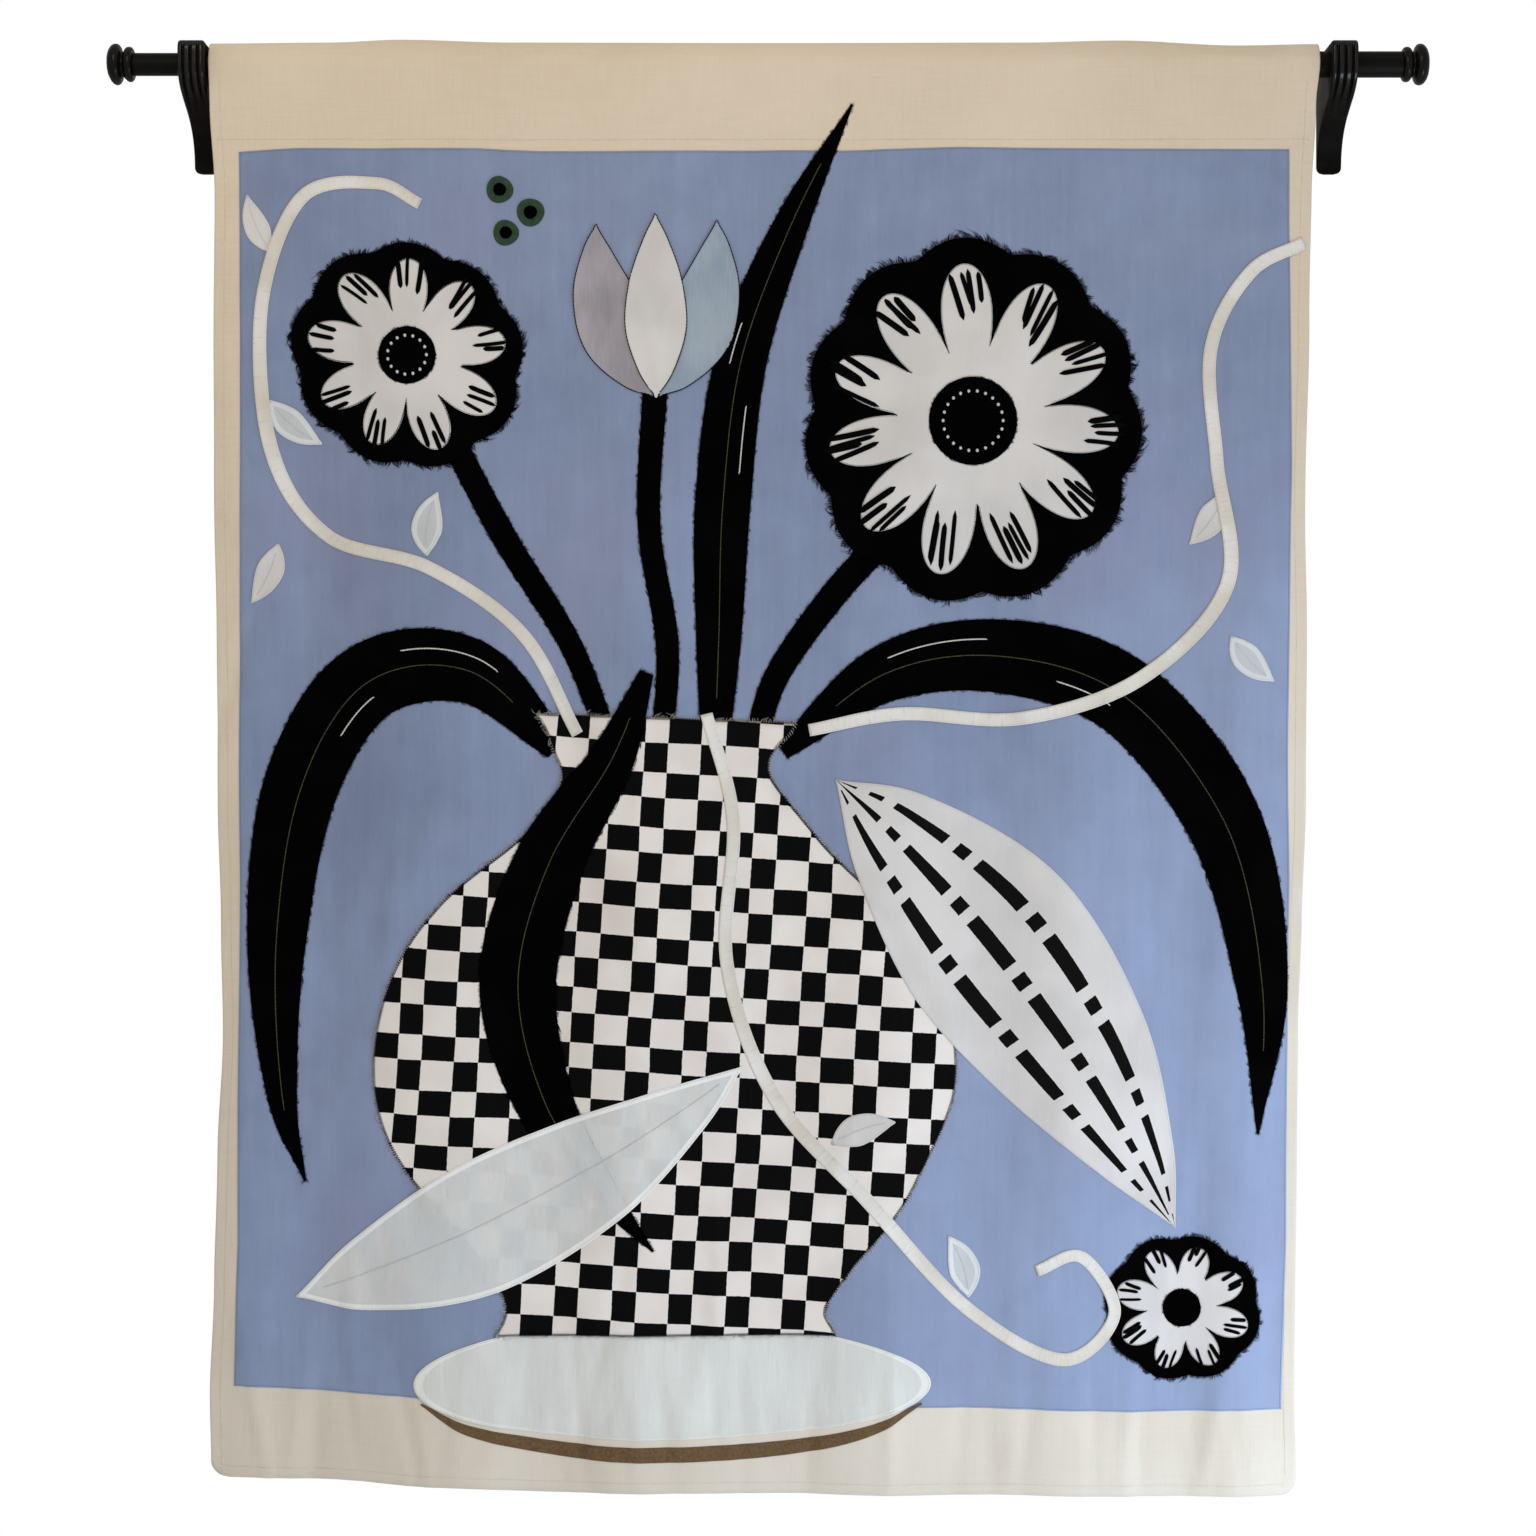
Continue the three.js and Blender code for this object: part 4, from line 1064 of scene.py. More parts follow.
def fringe(name, outlines, length, finish, slot, seed, step=FRINGE_STEP):
    """Loose threads round raw edges. Each leaves its edge outwards at a slant that it shares with
    its tuft, longer in the tuft's middle, and bends along it: a tapering thread through three
    points. The cells under the fringe rise, so that the next cloth lies over it."""
    dice = np.random.default_rng(seed)
    spines, widths = [], []
    for edge_x, edge_z in outlines:
        x, z = evenly(edge_x, edge_z, step, closed=True)
        x, z = x[:-1], z[:-1]
        along = np.stack([np.roll(part, -1) - np.roll(part, 1) for part in (x, z)], axis=-1)
        along /= np.maximum(np.hypot(*along.T), 1e-9)[:, None]
        turn = np.sign(np.sum(x * np.roll(z, -1) - z * np.roll(x, -1)))
        out = np.stack([along[:, 1], -along[:, 0]], axis=-1) * turn
        count = len(x)
        tuft_size = dice.uniform(3.5, 8, count) / step
        tuft_of = np.cumsum(1 / tuft_size).astype(int)
        tuft_long = dice.uniform(0.25, 1.3, count)[tuft_of]
        tuft_lean = dice.normal(0.15, 0.75, count)[tuft_of]
        tuft = tuft_long * (0.55 + 0.45 * np.sin(np.pi * (np.cumsum(1 / tuft_size) % 1)))
        reach = length * (0.3 + 0.7 * tuft * dice.uniform(0.55, 1.15, count))[:, None]
        slant = (tuft_lean + dice.normal(0, 0.28, count))[:, None]
        root = np.stack([x, z], axis=-1) - out * 0.8
        middle = root + out * reach * 0.55 + along * slant * reach * 0.25
        tip = root + out * reach + along * slant * reach * dice.uniform(0.5, 1.3, count)[:, None]
        lifts = (0.12, dice.uniform(0.12, 0.5, count), dice.uniform(0.12, 0.35, count))
        rows = [on_cloth(*spot.T, lift) for spot, lift in zip((root, middle, tip), lifts)]
        spines.append(np.stack(rows, axis=1))
        widths.append(np.outer(dice.uniform(0.75, 1.3, count), (0.34, 0.26, 0.07)) * MM)
    piece = spun(name, np.concatenate(spines), np.concatenate(widths), corners=3)
    for edge_x, edge_z in outlines:
        inside = filled(edge_x, edge_z)
        near = inside
        for axis in (0, 1):
            shifts = range(-FRINGE_SPREAD, FRINGE_SPREAD + 1)
            near = np.max([np.roll(near, k, axis) for k in shifts], axis=0)
        stack[near & ~inside] += FRINGE_LIFT
    fit(piece, finish, slot)


def stem_stitch(x, z, closed=False, pitch=3.4, lift=0.2):
    """Starts and ends of stem stitch: each stitch slants over the line and overlaps the next."""
    x, z = evenly(x, z, pitch, closed)
    along_x, along_z = np.diff(x), np.diff(z)
    size = np.maximum(np.hypot(along_x, along_z), 1e-9)
    side_x, side_z = -along_z / size * 0.35, along_x / size * 0.35
    start = on_cloth(x[:-1] - 0.3 * along_x + side_x, z[:-1] - 0.3 * along_z + side_z, lift)
    end = on_cloth(x[1:] + 0.3 * along_x - side_x, z[1:] + 0.3 * along_z - side_z, lift)
    return start, end


def vein(rows, start=0.08, end=0.9, aside=0.0):
    """A line along a band between two shares of its length, a share of its half width aside."""
    plan = ribbon_plan(rows, 5, across=5)
    share = np.linspace(start, end, 60)
    place = np.linspace(0, 1, len(plan[0]))
    return tuple(
        np.interp(share, place, (axis[:, 0] * (1 - aside) + axis[:, -1] * (1 + aside)) / 2)
        for axis in plan[:2]
    )


black = black_cotton()
edges = []
for name, rows in BLACK_BANDS.items():
    plan = ribbon_plan(rows, 5, across=9)
    lay_cloth(f"black_{name}", plan, black, "black_cloth", [name], cut_size(rows), thick=0.55)
    edges.append(outline_of(plan))
fringe("black_leaf_fringe", edges, 3.0, black, "black_cloth", 21)
olive_thread = thread_finish("olive_thread", (0.030, 0.034, 0.012), (0.085, 0.088, 0.035))
leaves = [rows for name, rows in BLACK_BANDS.items() if name.startswith("leaf")]
midribs = [stem_stitch(*vein(rows)) for rows in leaves]
sew("olive_midribs", midribs, 0.5, olive_thread, "green_thread")
arcs = [stem_stitch(*vein(BLACK_BANDS[name], *where)) for name, *where in WHITE_ARCS]
sew("white_arcs", arcs, 0.75, white_thread, "white_cotton")

# ---------------------------------------------------------------------------------------------
# Vase. A wide jar cut from cotton with an uneven black and white check, laid raw-edged over the
# mat and the stems, and bound all round with a narrow close zigzag of black thread.

# Axis and half width, and the widths of the dark and light stripes each way.
VASE = [
    (-100, -640, 128), (-101, -668, 110), (-100, -702, 103), (-98, -760, 148), (-99, -835, 228),
    (-101, -925, 276), (-100, -1015, 281), (-98, -1100, 240), (-99, -1170, 184),
    (-100, -1215, 156), (-100, -1243, 166),
]
CHECK_ACROSS = (32.2 * MM, 23.4 * MM)
CHECK_DOWN = (29.3 * MM, 24.4 * MM)
CHECK_TURN = np.radians(-3.5)


def checked_cotton():
    """Check of two widths each way: black where only one of the two stripes is dark. The cloth
    pulls the lines a little out of true, and the black has bled into single threads."""
    finish = Finish("checked_cotton")
    across, _, up = finish.parts(finish.place(turn=(0, CHECK_TURN, 0)))
    bleed = (finish.noise(900, 1) - 0.5) * 0.0012
    across = across + (finish.noise(9) - 0.5) * 0.006 + bleed
    up = up + (finish.noise(8) - 0.5) * 0.006 + bleed
    stripe = (across % sum(CHECK_ACROSS)) < CHECK_ACROSS[0]
    band = (up % sum(CHECK_DOWN)) < CHECK_DOWN[0]
    slub = finish.noise((600, 600, 40))
    crease = finish.noise((40, 40, 9), 3, 0.55)
    cloudy = finish.noise(14, 3)
    white = finish.fade(cloudy, 0.3, 0.7, (0.745, 0.710, 0.695), (0.830, 0.810, 0.795))
    ink = finish.blend(slub * 0.5, (0.0018, 0.0017, 0.0018), (0.0050, 0.0046, 0.0050))
    base = finish.blend(abs(stripe - band), white, ink)
    height = finish.weave(0.8 * MM) * 0.2 + slub * 0.4 + crease * 2.4
    return finish.paint(base, 0.88 - slub * 0.08, height, 0.00022, Specular_IOR_Level=0.06)


def zigzag(plan, inner=2.2, outer=-0.6, pitch=2.3):
    """Starts and ends of a close zigzag over a piece's edge: one thread goes out from the line
    an inset inside it, and the next comes back from the line outside."""
    sides = [evenly(*inner_line(plan, inset), 1.0, closed=True) for inset in (inner, outer)]
    count = int(len(sides[0][0]) / pitch)
    share = np.arange(count + 1) / count
    near, far = (
        np.stack([np.interp(share, np.linspace(0, 1, len(axis)), axis) for axis in side])
        for side in sides
    )
    starts = np.concatenate([near[:, :-1], far[:, :-1]], axis=1)
    ends = np.concatenate([far[:, :-1], near[:, 1:]], axis=1)
    return on_cloth(*starts, 0.1), on_cloth(*ends, 0.1)


black_thread = thread_finish(
    "black_thread", (0.002, 0.002, 0.0023), (0.008, 0.008, 0.009), shine=0.06,
)
vase_plan = ribbon_plan(VASE, 6, across=80)
lay_cloth(
    "checked_vase", vase_plan, checked_cotton(), "checked_cotton", ["vase"], (562, 603),
)
sew("vase_zigzag", [zigzag(vase_plan)], 0.36, black_thread, "black_cloth")
vase_edge = outline_of(vase_plan)
fringe("vase_white_fray", [vase_edge], 6.0, white_thread, "checked_cotton", 23, step=2.6)
fringe("vase_black_fray", [vase_edge], 2.8, black_thread, "checked_cotton", 24, step=2.7)

# ---------------------------------------------------------------------------------------------
# Leaves over the vase. A third black leaf falls down its front, and a broad white cotton leaf
# stands before it, printed with black bars and dots along its veins, its edge turned under.

FALLING_LEAF = [
    (-118, -596, 7), (-152, -680, 22), (-214, -782, 34), (-244, -900, 37), (-216, -1020, 28),
    (-152, -1112, 12), (-112, -1160, 1),
]
# Share of the way along a leaf, and of its half width there.
LEAF_SHAPE = np.array([(0, 0), (0.14, 0.56), (0.38, 1), (0.64, 0.86), (0.86, 0.42), (1, 0)])
# Foot, tip, half width and bend.
DASHED_LEAF = (66, -700, 398, -1138, 92, 26)
# Half width of the print as a share of the leaf's, and of a bar as a share of its lane.
PRINT_HALF = 0.8
BAR_HALF = 0.17
BAR_PITCH = 96 * MM
BAR_LENGTH = 58 * MM
DOT_FROM = 70 * MM
DOT_TO = 84 * MM


def leaf_rows(x, z, tip_x, tip_z, half, bend):
    """Rows of a leaf from its foot to its tip; it bows sideways by bend on a parabola."""
    along, width = LEAF_SHAPE.T
    run_x, run_z = tip_x - x, tip_z - z
    aside = 4 * bend * along * (1 - along) / np.hypot(run_x, run_z)
    spine_x, spine_z = x + along * run_x - aside * run_z, z + along * run_z + aside * run_x
    return np.column_stack([spine_x, spine_z, half * width])


def white_cotton(name, printed=False):
    """White cotton with soft creases. The print is three rows of bars and dots that run with
    the leaf: uv holds the share of its half width and the distance along."""
    finish = Finish(name)
    slub = finish.noise((520, 520, 36))
    cloudy = finish.noise(11, 3)
    crease = finish.noise((46, 46, 11), 3, 0.55, turn=(0, 0.4, 0))
    base = finish.fade(cloudy, 0.3, 0.7, (0.590, 0.590, 0.600), (0.700, 0.700, 0.710))
    base = finish.blend(slub * 0.2, base, (0.80, 0.80, 0.80))
    if printed:
        aside, along, _ = finish.parts(finish.place(uv=True))
        ragged = (finish.noise(260) - 0.5) * 0.02
        lane = aside * 2 + 0.5 + ragged
        number = finish.node("ShaderNodeMath", {"operation": "FLOOR"}, {0: lane})
        in_lane = abs(lane - number - 0.5) < BAR_HALF
        run = (along + number * 37 * MM + ragged * 0.06) % BAR_PITCH
        bar = run < BAR_LENGTH
        dot = (run < DOT_TO) - (run < DOT_FROM)
        inside = abs(aside) < PRINT_HALF
        base = finish.blend(in_lane * (bar + dot) * inside, base, (0.0025, 0.0025, 0.0028))
    height = finish.weave(0.9 * MM) * 0.18 + slub * 0.4 + crease * 3.6
    return finish.paint(base, 0.88 - slub * 0.06, height, 0.00026, Specular_IOR_Level=0.1)


falling_plan = ribbon_plan(FALLING_LEAF, 5, across=9)
lay_cloth(
    "black_leaf_falling", falling_plan, black, "black_cloth", ["leaf_falling"],
    cut_size(FALLING_LEAF), thick=0.55,
)
fringe("falling_leaf_fringe", [outline_of(falling_plan)], 3.0, black, "black_cloth", 22)
sew("falling_leaf_midrib", [stem_stitch(*vein(FALLING_LEAF))], 0.5, olive_thread, "green_thread")
dashed_plan = ribbon_plan(leaf_rows(*DASHED_LEAF), 5, across=34, lane="share")
lay_cloth(
    "white_dashed_leaf", dashed_plan, white_cotton("printed_white_cotton", True), "white_cotton",
    ["leaf_dashed"], (188, 560), fold=5.5,
)
sew("dashed_leaf_stitches", [edge_row(dashed_plan, 1.5)], FINE_THREAD, white_thread, "white_cotton")

# ---------------------------------------------------------------------------------------------
# Daisies. Each is a black disc with a lobed, fringed edge, a white cotton flower on it, and a
# black middle with white knots. Bars of black satin stitch reach in over the petals.

# Middle, radius, petals, turn, bars on a petal, and knots of each.
DAISIES = {
    "daisy_low": (404, -1216, 74, 8, 0.1, 3, 0),
    "daisy_large": (200, -350, 172, 11, 0.2, 4, 22),
    "daisy_left": (-352, -286, 112, 9, 0.5, 3, 15),
}
# Name, node, step of the grid, cut width in radii, and thickness of a daisy's three layers.
DAISY_LAYERS = [
    ("black_ground", "ground", 4.5, 2.08, 0.55),
    ("white_petals", "petals", 3, 1.8, 0.5),
    ("black_middle", "centre", 3.5, 0.5, 0.6),
]
KNOT_RING = 0.17
BAR_SHARE = np.linspace(0, 1, 11)
BAR_SWELL = np.clip(1 - np.abs(2 * BAR_SHARE - 1) ** 7, 0, 1) ** 0.5
# Where a petal's middle bar starts and how much further in the outer ones do, as shares of the
# radius, and how far the bars spread, as a share of the petal's width.
BAR_START = 0.875
BAR_STEP_IN = 0.055
BAR_SPREAD = 0.2108


def daisy_outlines(radius, petals, turn):
    """Radius of the ground, the petals and the middle at each angle. A lobe is the absolute sine
    of half the petal count times the angle, and the whole is a little wider one way."""

    def lobe(angle):
        return np.abs(np.sin(petals * (angle - turn) / 2))

    def size(angle):
        return radius * (1 + 0.04 * np.sin(2 * angle + petals))

    return (
        lambda angle: size(angle) * (0.93 + 0.07 * lobe(angle)),
        lambda angle: size(angle) * (0.36 + 0.5 * lobe(angle) ** 0.55),
        lambda angle: 0.25 * radius + 0 * angle,
    )


def satin_bars(name, flowers, finish):
    """Bars of satin stitch: each runs from the rim of a petal towards the middle, a little
    aslant and bent, with round ends, three times as wide as it is high."""
    dice = np.random.default_rng(31)
    spines, widths = [], []
    for middle_x, middle_z, radius, petals, turn, bars, _ in flowers:
        count = petals * bars
        petal, bar = np.arange(count) // bars + 0.5, np.arange(count) % bars
        side = (bar - (bars - 1) / 2) * 2 / bars
        stray = dice.uniform(-0.05, 0.05, count)
        angle = turn + 2 * np.pi / petals * (petal + side * BAR_SPREAD + stray)
        rim = BAR_START - BAR_STEP_IN * np.abs(side)
        start = radius * (rim + dice.uniform(-0.015, 0.015, count))
        length = radius * dice.uniform(0.17, 0.32, count)
        slant = np.repeat(dice.uniform(-0.22, 0.22, petals), bars)
        slant = slant + dice.uniform(-0.07, 0.07, count)
        bend = dice.uniform(-2, 2, count)
        reach = start[:, None] - length[:, None] * BAR_SHARE
        aside = (slant * length)[:, None] * BAR_SHARE
        aside = aside + bend[:, None] * BAR_SHARE * (1 - BAR_SHARE)
        across, up = np.cos(angle)[:, None], np.sin(angle)[:, None]
        x = middle_x + reach * across - aside * up
        z = middle_z + reach * up + aside * across
        spines.append(on_cloth(x, z, 0.25))
        half = (1.1 + radius / 95) * dice.uniform(0.75, 1.2, count)
        widths.append(half[:, None] * np.maximum(BAR_SWELL, 0.12) * MM)
    piece = spun(name, np.concatenate(spines), np.concatenate(widths), flat=0.34, corners=8)
    fit(piece, finish, "black_cloth")


def knots(name, x, z, size, finish, slot):
    """French knots: small round beads of thread that sit on the cloth."""
    swell = np.array([0.35, 0.85, 1.0, 0.85, 0.35]) * size * MM
    along = np.linspace(-0.75, 0.75, 5) * size
    spines = on_cloth(x[:, None] + along, np.repeat(z[:, None], 5, 1), 0.3 * size)
    fit(spun(name, spines, np.tile(swell, (len(x), 1)), 0.8, 6), finish, slot)


def brushed_thread():
    """Black satin stitch seen close: fine ridges and a dull shine along them."""
    finish = Finish("black_satin_stitch")
    ridge = finish.noise(1300, 1)
    rough = 0.75 + finish.noise(60) * 0.15
    base = finish.fade(ridge, 0.45, 0.75, (0.0010, 0.0010, 0.0011), (0.0035, 0.0035, 0.004))
    return finish.paint(base, rough, ridge, 0.00010, Specular_IOR_Level=0.03)


petal_cotton = white_cotton("white_cotton")
for name, (x, z, radius, petals, turn, _, beads) in DAISIES.items():
    for layer, edge in zip(DAISY_LAYERS, daisy_outlines(radius, petals, turn)):
        part, node, step, width, thick = layer
        plan = disc_plan(x, z, edge, step=step)
        white = node == "petals"
        finish, slot = (petal_cotton, "white_cotton") if white else (black, "black_cloth")
        lay_cloth(
            f"{name}_{part}", plan, finish, slot, [f"{name}_{node}"], (width * radius,) * 2,
            thick=thick,
        )
        if node == "ground":
            long = 3.6 + radius / 45
            fringe(f"{name}_fringe", [outline_of(plan)], long, black, slot, 40 + petals, step=0.8)
        elif node == "petals":
            rows = [zigzag(plan, 1.3, -0.4, 2.6)]
            sew(f"{name}_petal_stitches", rows, FINE_THREAD, black_thread, "black_cloth")
        else:
            fringe(f"{name}_middle_fringe", [outline_of(plan)], 2.4, black, slot, 60 + petals)
    if beads:
        spot = np.linspace(0, 2 * np.pi, beads, endpoint=False)
        ring_x, ring_z = radius * KNOT_RING * np.cos(spot), radius * KNOT_RING * np.sin(spot)
        knots(f"{name}_knots", x + ring_x, z + ring_z, 1.9, white_thread, "white_cotton")
satin_bars("petal_satin_bars", DAISIES.values(), brushed_thread())

# ---------------------------------------------------------------------------------------------
# Tulip. Three petals of satin and cotton, the middle one on top, each outlined with a thin
# black line of stem stitch.

# Foot, tip, half width and bend of each petal.
TULIP = {
    "tulip_left": (-112, -326, -168, -158, 34, 16),
    "tulip_right": (-106, -326, -50, -154, 34, -16),
    "tulip_middle": (-109, -328, -110, -148, 30, 0),
}


def satin(name, dark, light):
    """Soft satin: two close shades in broad clouds, fine warp lines, and a low even lustre."""
    finish = Finish(name)
    warp = finish.noise((1500, 1500, 30))
    cloudy = finish.noise((30, 30, 16), 3)
    crease = finish.noise((60, 60, 20), 3, 0.55)
    base = finish.fade(cloudy * 0.7 + warp * 0.3, 0.3, 0.7, dark, light)
    height = warp * 0.4 + crease * 2.6
    return finish.paint(base, 0.5 + cloudy * 0.14, height, 0.0002, Specular_IOR_Level=0.4)


TULIP_FINISHES = {
    "lilac_satin": satin("lilac_satin", (0.27, 0.262, 0.315), (0.40, 0.385, 0.44)),
    "sky_satin": satin("sky_satin", (0.23, 0.315, 0.425), (0.35, 0.435, 0.53)),
    "white_cotton": petal_cotton,
}
for (name, petal), (slot, finish) in zip(TULIP.items(), TULIP_FINISHES.items()):
    plan = ribbon_plan(leaf_rows(*petal), 4, across=14)
    lay_cloth(
        f"{name}_petal", plan, finish, slot, [name], (72, 184), thick=0.45, fold=3.5,
    )
    rows = [stem_stitch(*inner_line(plan, 0.2), closed=True)]
    sew(f"{name}_outline", rows, 0.5, black_thread, "black_cloth")

# ---------------------------------------------------------------------------------------------
# Sprig leaves. Eight small leaves of organza and cotton beside the vines, stitched down the
# middle and round the edge.

# Foot, tip, half width and bend of each leaf.
SPRIGS = {
    "sprig_1": (-332, -482, -322, -420, 15, 5),
    "sprig_2": (-478, -470, -504, -528, 13, 4),
    "sprig_3": (-486, -330, -436, -372, 14, -5),
    "sprig_4": (-484, -186, -508, -130, 12, 4),
    "sprig_5": (452, -560, 494, -604, 14, -4),
    "sprig_6": (446, -420, 412, -470, 14, 4),
    "sprig_7": (62, -1056, 124, -1034, 15, 5),
    "sprig_8": (196, -1206, 176, -1146, 15, -5),
}
SPRIG_PITCH = 2.6
ICE_SPRIGS = ("sprig_1", "sprig_3", "sprig_5", "sprig_8")
sprig_organza = organza("ice_organza_sprigs", (0.66, 0.71, 0.75), 0.72)
rows = []
for name, sprig in SPRIGS.items():
    shape = leaf_rows(*sprig)
    plan = ribbon_plan(shape, 3.5, across=9, lane="inset")
    icy = name in ICE_SPRIGS
    finish, slot = (sprig_organza, "pale_organza") if icy else (petal_cotton, "white_cotton")
    lay_cloth(f"{name}_leaf", plan, finish, slot, [name], cut_size(shape), thick=0.4, fold=2.5)
    rows.append(edge_row(plan, 1.3, SPRIG_PITCH))
    rows.append(stitch_row(*shape[1:-1, :2].T, pitch=SPRIG_PITCH))
sew("sprig_stitches", rows, 0.24, white_thread, "white_cotton")

# ---------------------------------------------------------------------------------------------
# Vines. Cream bias tape, its two edges pressed under, eased round the curves and stitched down
# along both sides.

# Spine and half width of each vine.
VINES = {
    "vine_right": [
        (40, -652, 6), (130, -636, 6.5), (250, -640, 6.5), (366, -600, 7), (448, -510, 7),
        (438, -390, 6.5), (432, -280, 6.5), (470, -206, 6.5), (524, -176, 6),
    ],
    "vine_left": [
        (-186, -656, 6), (-240, -558, 6.5), (-330, -494, 6.5), (-430, -462, 6.5), (-484, -380, 7),
        (-494, -240, 6.5), (-456, -134, 6.5), (-384, -118, 6), (-340, -138, 5.5),
    ],
    "vine_falling": [
        (-60, -636, 6), (-34, -740, 6.5), (-40, -880, 6.5), (6, -1010, 7), (96, -1110, 7),
        (196, -1218, 6.5), (288, -1266, 6.5), (338, -1222, 6), (306, -1166, 6), (262, -1180, 5.5),
    ],
}
TAPE_THREAD = 0.7 * MM
TAPE_STITCH = 3.6


def bias_tape():
    """Bias tape: cream cotton whose weave runs slantwise, with puckers across where it bends,
    darkened along them as painted shade.
    """
    finish = Finish("cream_bias_tape")
    aside, along, _ = finish.parts(finish.place(uv=True))
    one_way, other_way = (slant * (np.pi / TAPE_THREAD) for slant in (along + aside, along - aside))
    pucker = finish.noise((60, 260, 1), uv=True)
    cloudy = finish.noise(13, 3)
    base = finish.fade(cloudy, 0.35, 0.65, (0.675, 0.655, 0.605), (0.790, 0.795, 0.790))
    # Painted shade: darker along the puckers.
    base = finish.blend(finish.rise(pucker, 0.55, 0.8) * 0.5, base, (0.54, 0.51, 0.45))
    height = one_way.sine() * other_way.sine() * 0.12 + pucker * 2.8
    return finish.paint(base, 0.85 + cloudy * 0.08, height, 0.0003, Specular_IOR_Level=0.2)


tape = bias_tape()
rows = []
for name, path in VINES.items():
    plan = ribbon_plan(path, 3.5, across=6)
    lay_cloth(
        f"cream_{name}", plan, tape, "bias_tape", [name], cut_size(path), thick=0.6, fold=3,
    )
    rows.append(edge_row(plan, 1.2, TAPE_STITCH))
sew("vine_stitches", rows, FINE_THREAD, cream_thread, "bias_tape")

# ---------------------------------------------------------------------------------------------
# Berries. Three raised rings of dark green satin stitch round a black middle.

# Middle and radius of each berry, and the radius of its middle as a share of that.
BERRIES = {
    "berry_1": (-262, -124, 13),
    "berry_2": (-232, -146, 13.5),
    "berry_3": (-256, -166, 12.5),
}
BERRY_MIDDLE = 0.48
BERRY_CUT_LEAST = 10.2
berry_stitch = satin_stitch("green_satin_stitch", (0.009, 0.030, 0.014), (0.03, 0.085, 0.042))
for name, (x, z, radius) in BERRIES.items():
    rings = {
        "ring": (radius, 0.9, berry_stitch, "green_thread", [name]),
        "middle": (radius * BERRY_MIDDLE, 0.5, black, "black_cloth", []),
    }
    for part, (reach, thick, finish, slot, nodes) in rings.items():

        def uneven(angle, reach=reach, x=x):
            return reach * (1 + 0.03 * np.sin(3 * angle + x))

        plan = disc_plan(x, z, uneven, step=1.8)
        flat = (max(2 * CUT_WIDER * reach, BERRY_CUT_LEAST),) * 2
        lay_cloth(f"{name}_{part}", plan, finish, slot, nodes, flat, thick=thick)

# ---------------------------------------------------------------------------------------------
# Sheer leaf. A long leaf of ice-white organza across the vase's foot, sewn last, through which
# the check and the fallen leaf show faintly. Its edge and midrib are stitched in white.

SHEER_LEAF = (-462, -1206, -24, -980, 64, -24)
sheer_plan = ribbon_plan(leaf_rows(*SHEER_LEAF), 5, across=24, lane="inset")
lay_cloth(
    "sheer_leaf", sheer_plan, organza("ice_organza", (0.820, 0.880, 0.920), 0.61), "pale_organza",
    ["leaf_sheer"], (132, 505), thick=0.3, fold=5.5,
)
share, place = np.linspace(0.06, 0.94, 40), np.linspace(0, 1, len(sheer_plan[0]))
midrib = [np.interp(share, place, axis[:, axis.shape[1] // 2]) for axis in sheer_plan[:2]]
rows = [edge_row(sheer_plan, 1.5), stitch_row(*midrib, share=0.93)]
sew("sheer_leaf_stitches", rows, 0.26, white_thread, "pale_organza")

# ---------------------------------------------------------------------------------------------
# Floor, soft studio light and the camera at the photograph's viewing angle.

FLOOR_DROP = -1.75
FLOOR_RADIUS = 1.05
WORLD_LIGHT = (0.53, 0.50, 0.46, 1)


def floor_disc():
    """A thin round floor slab: a disc of even rings, closed by its rim and underside."""
    angle = np.linspace(0, 2 * np.pi, 96, endpoint=False)
    ring = np.linspace(0.05, FLOOR_RADIUS, 8)[:, None]
    across, deep = ring * np.cos(angle), ring * np.sin(angle)
    flat = np.stack(np.broadcast_arrays(across, deep, FLOOR_DROP), axis=-1)
    return closed_sheet("pale_floor", flat, flat - (0, 0, 0.01), wrap=True)


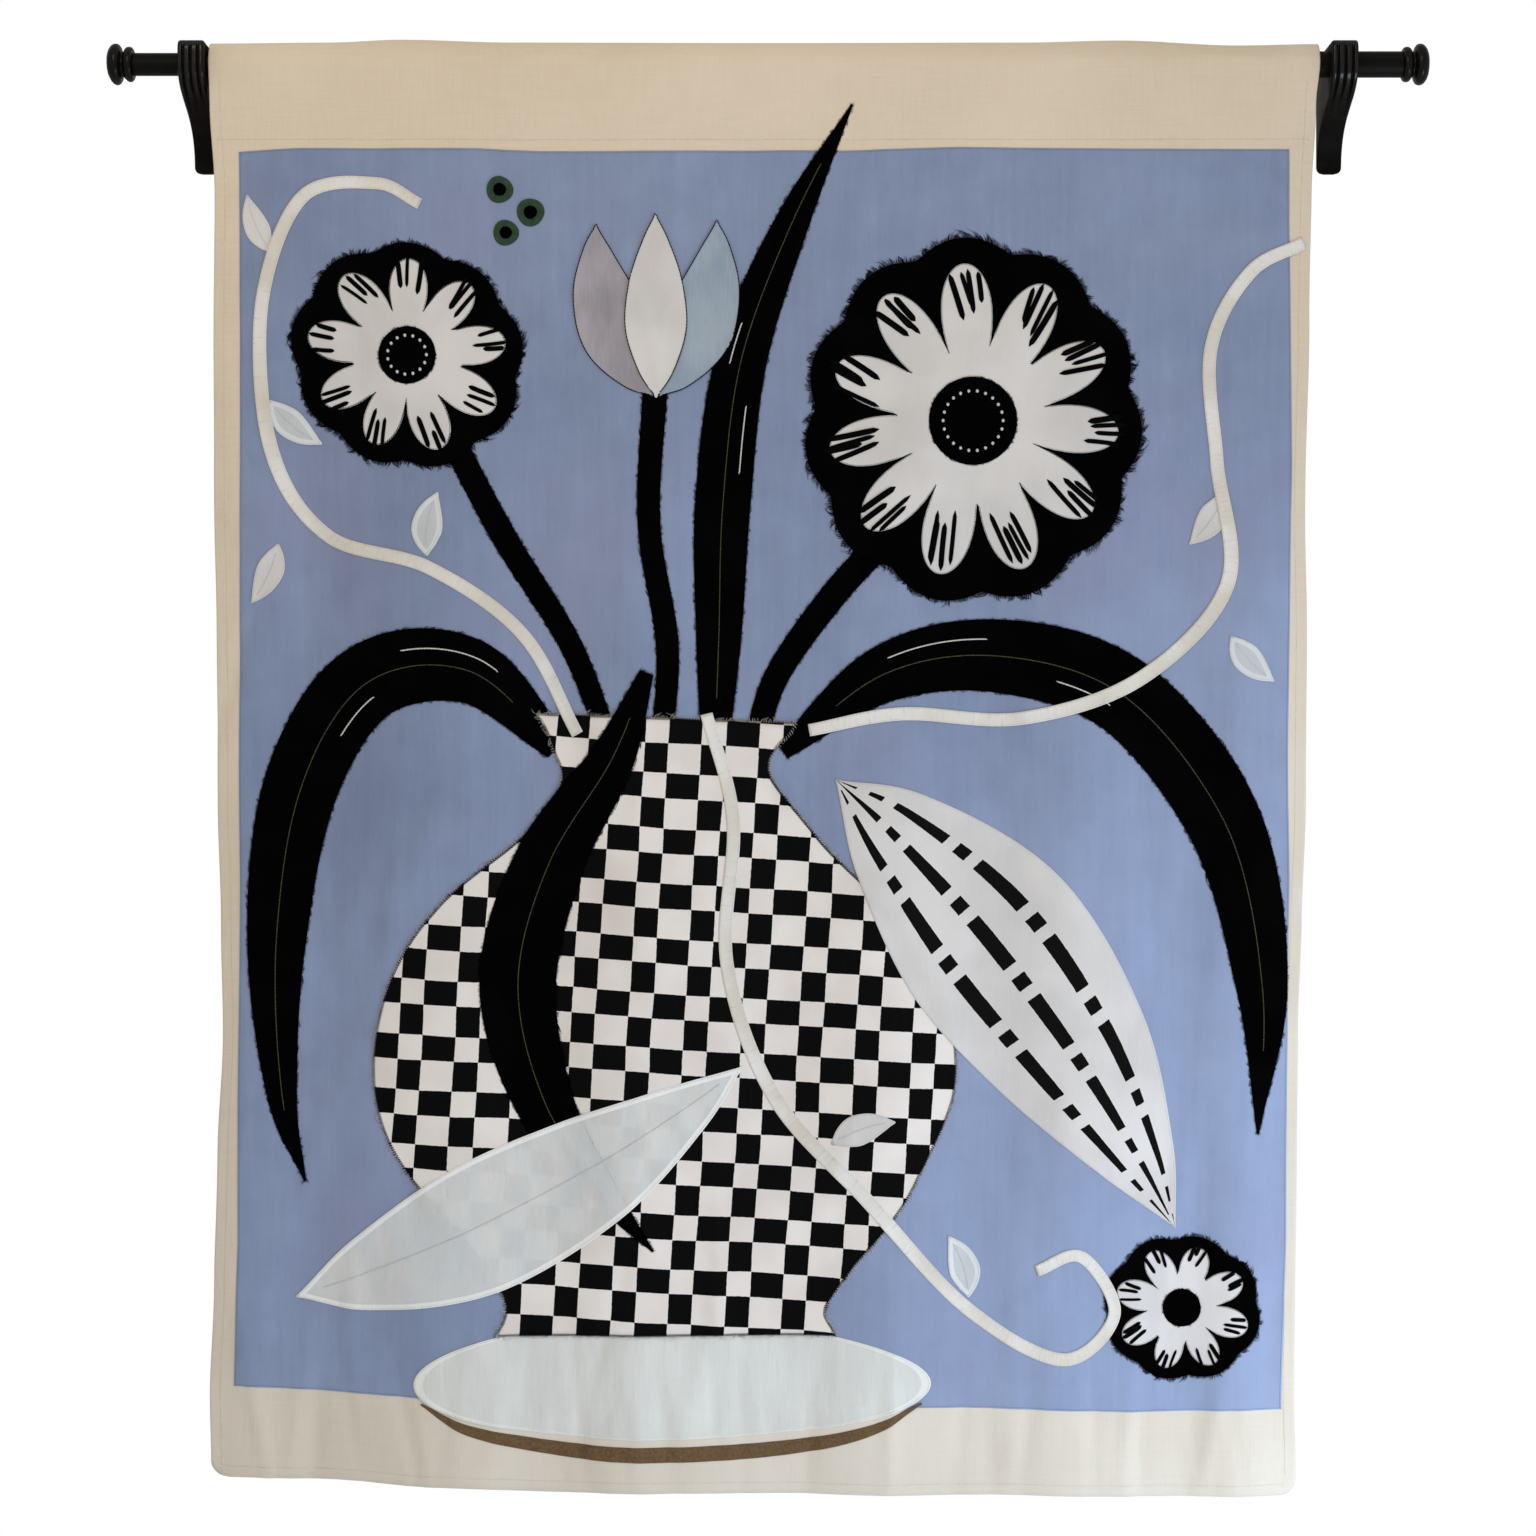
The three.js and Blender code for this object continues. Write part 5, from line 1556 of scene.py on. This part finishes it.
def floor_finish():
    """Pale studio floor, faintly clouded."""
    finish = Finish("pale_floor")
    cloudy = finish.noise(3, 3)
    base = finish.blend(cloudy, (0.84, 0.85, 0.87), (0.88, 0.89, 0.91))
    return finish.paint(base, 0.8 + cloudy * 0.1)


floor = floor_disc()
floor.data.materials.append(floor_finish())


def soft_light(name, place, aim, size, power, color):
    """A round soft lamp at a place, turned to its aim, that the camera doesn't see."""
    lamp = bpy.data.lights.new(name, "AREA")
    lamp.shape, lamp.size, lamp.energy, lamp.color = "DISK", size, power, color
    light = bpy.data.objects.new(name, lamp)
    light.location = place
    light.rotation_euler = (Vector(aim) - Vector(place)).to_track_quat("-Z", "Y").to_euler()
    light.visible_camera = False
    bpy.context.scene.collection.objects.link(light)


soft_light("window_right", (1.15, -0.95, -1.5), (0.3, 0, -1.1), 0.9, 13, (0.75, 0.86, 1.0))
soft_light("lamp_above", (-0.4, -1.5, 0.75), (-0.1, 0, -0.3), 1.0, 9, (1.0, 0.87, 0.72))
soft_light("fill_behind", (-1.3, 1.4, -0.1), (0, 0, -0.7), 0.9, 14, (1.0, 0.96, 0.9))

world = bpy.data.worlds.new("pale_studio")
bpy.context.scene.world = world
world.use_nodes = True
sky, seen = world.node_tree.nodes["Background"], world.node_tree.nodes.new("ShaderNodeLightPath")
backdrop = world.node_tree.nodes.new("ShaderNodeMix")
backdrop.data_type = "RGBA"
backdrop.inputs[6].default_value = WORLD_LIGHT
backdrop.inputs[7].default_value = (1, 1, 1, 1)
world.node_tree.links.new(seen.outputs["Is Camera Ray"], backdrop.inputs[0])
world.node_tree.links.new(backdrop.outputs[2], sky.inputs["Color"])
sky.inputs["Strength"].default_value = 1.0

# Level with the middle of the hanging, as the photograph was taken.
camera = bpy.data.objects.new("camera", bpy.data.cameras.new("camera"))
camera.location = (0, -3.202, -0.6888)
camera.rotation_euler = (np.pi / 2, 0, 0)
camera.data.sensor_width = 36
camera.data.lens = 74.97
bpy.context.scene.collection.objects.link(camera)
bpy.context.scene.camera = camera
bpy.context.scene.view_settings.view_transform = "Standard"
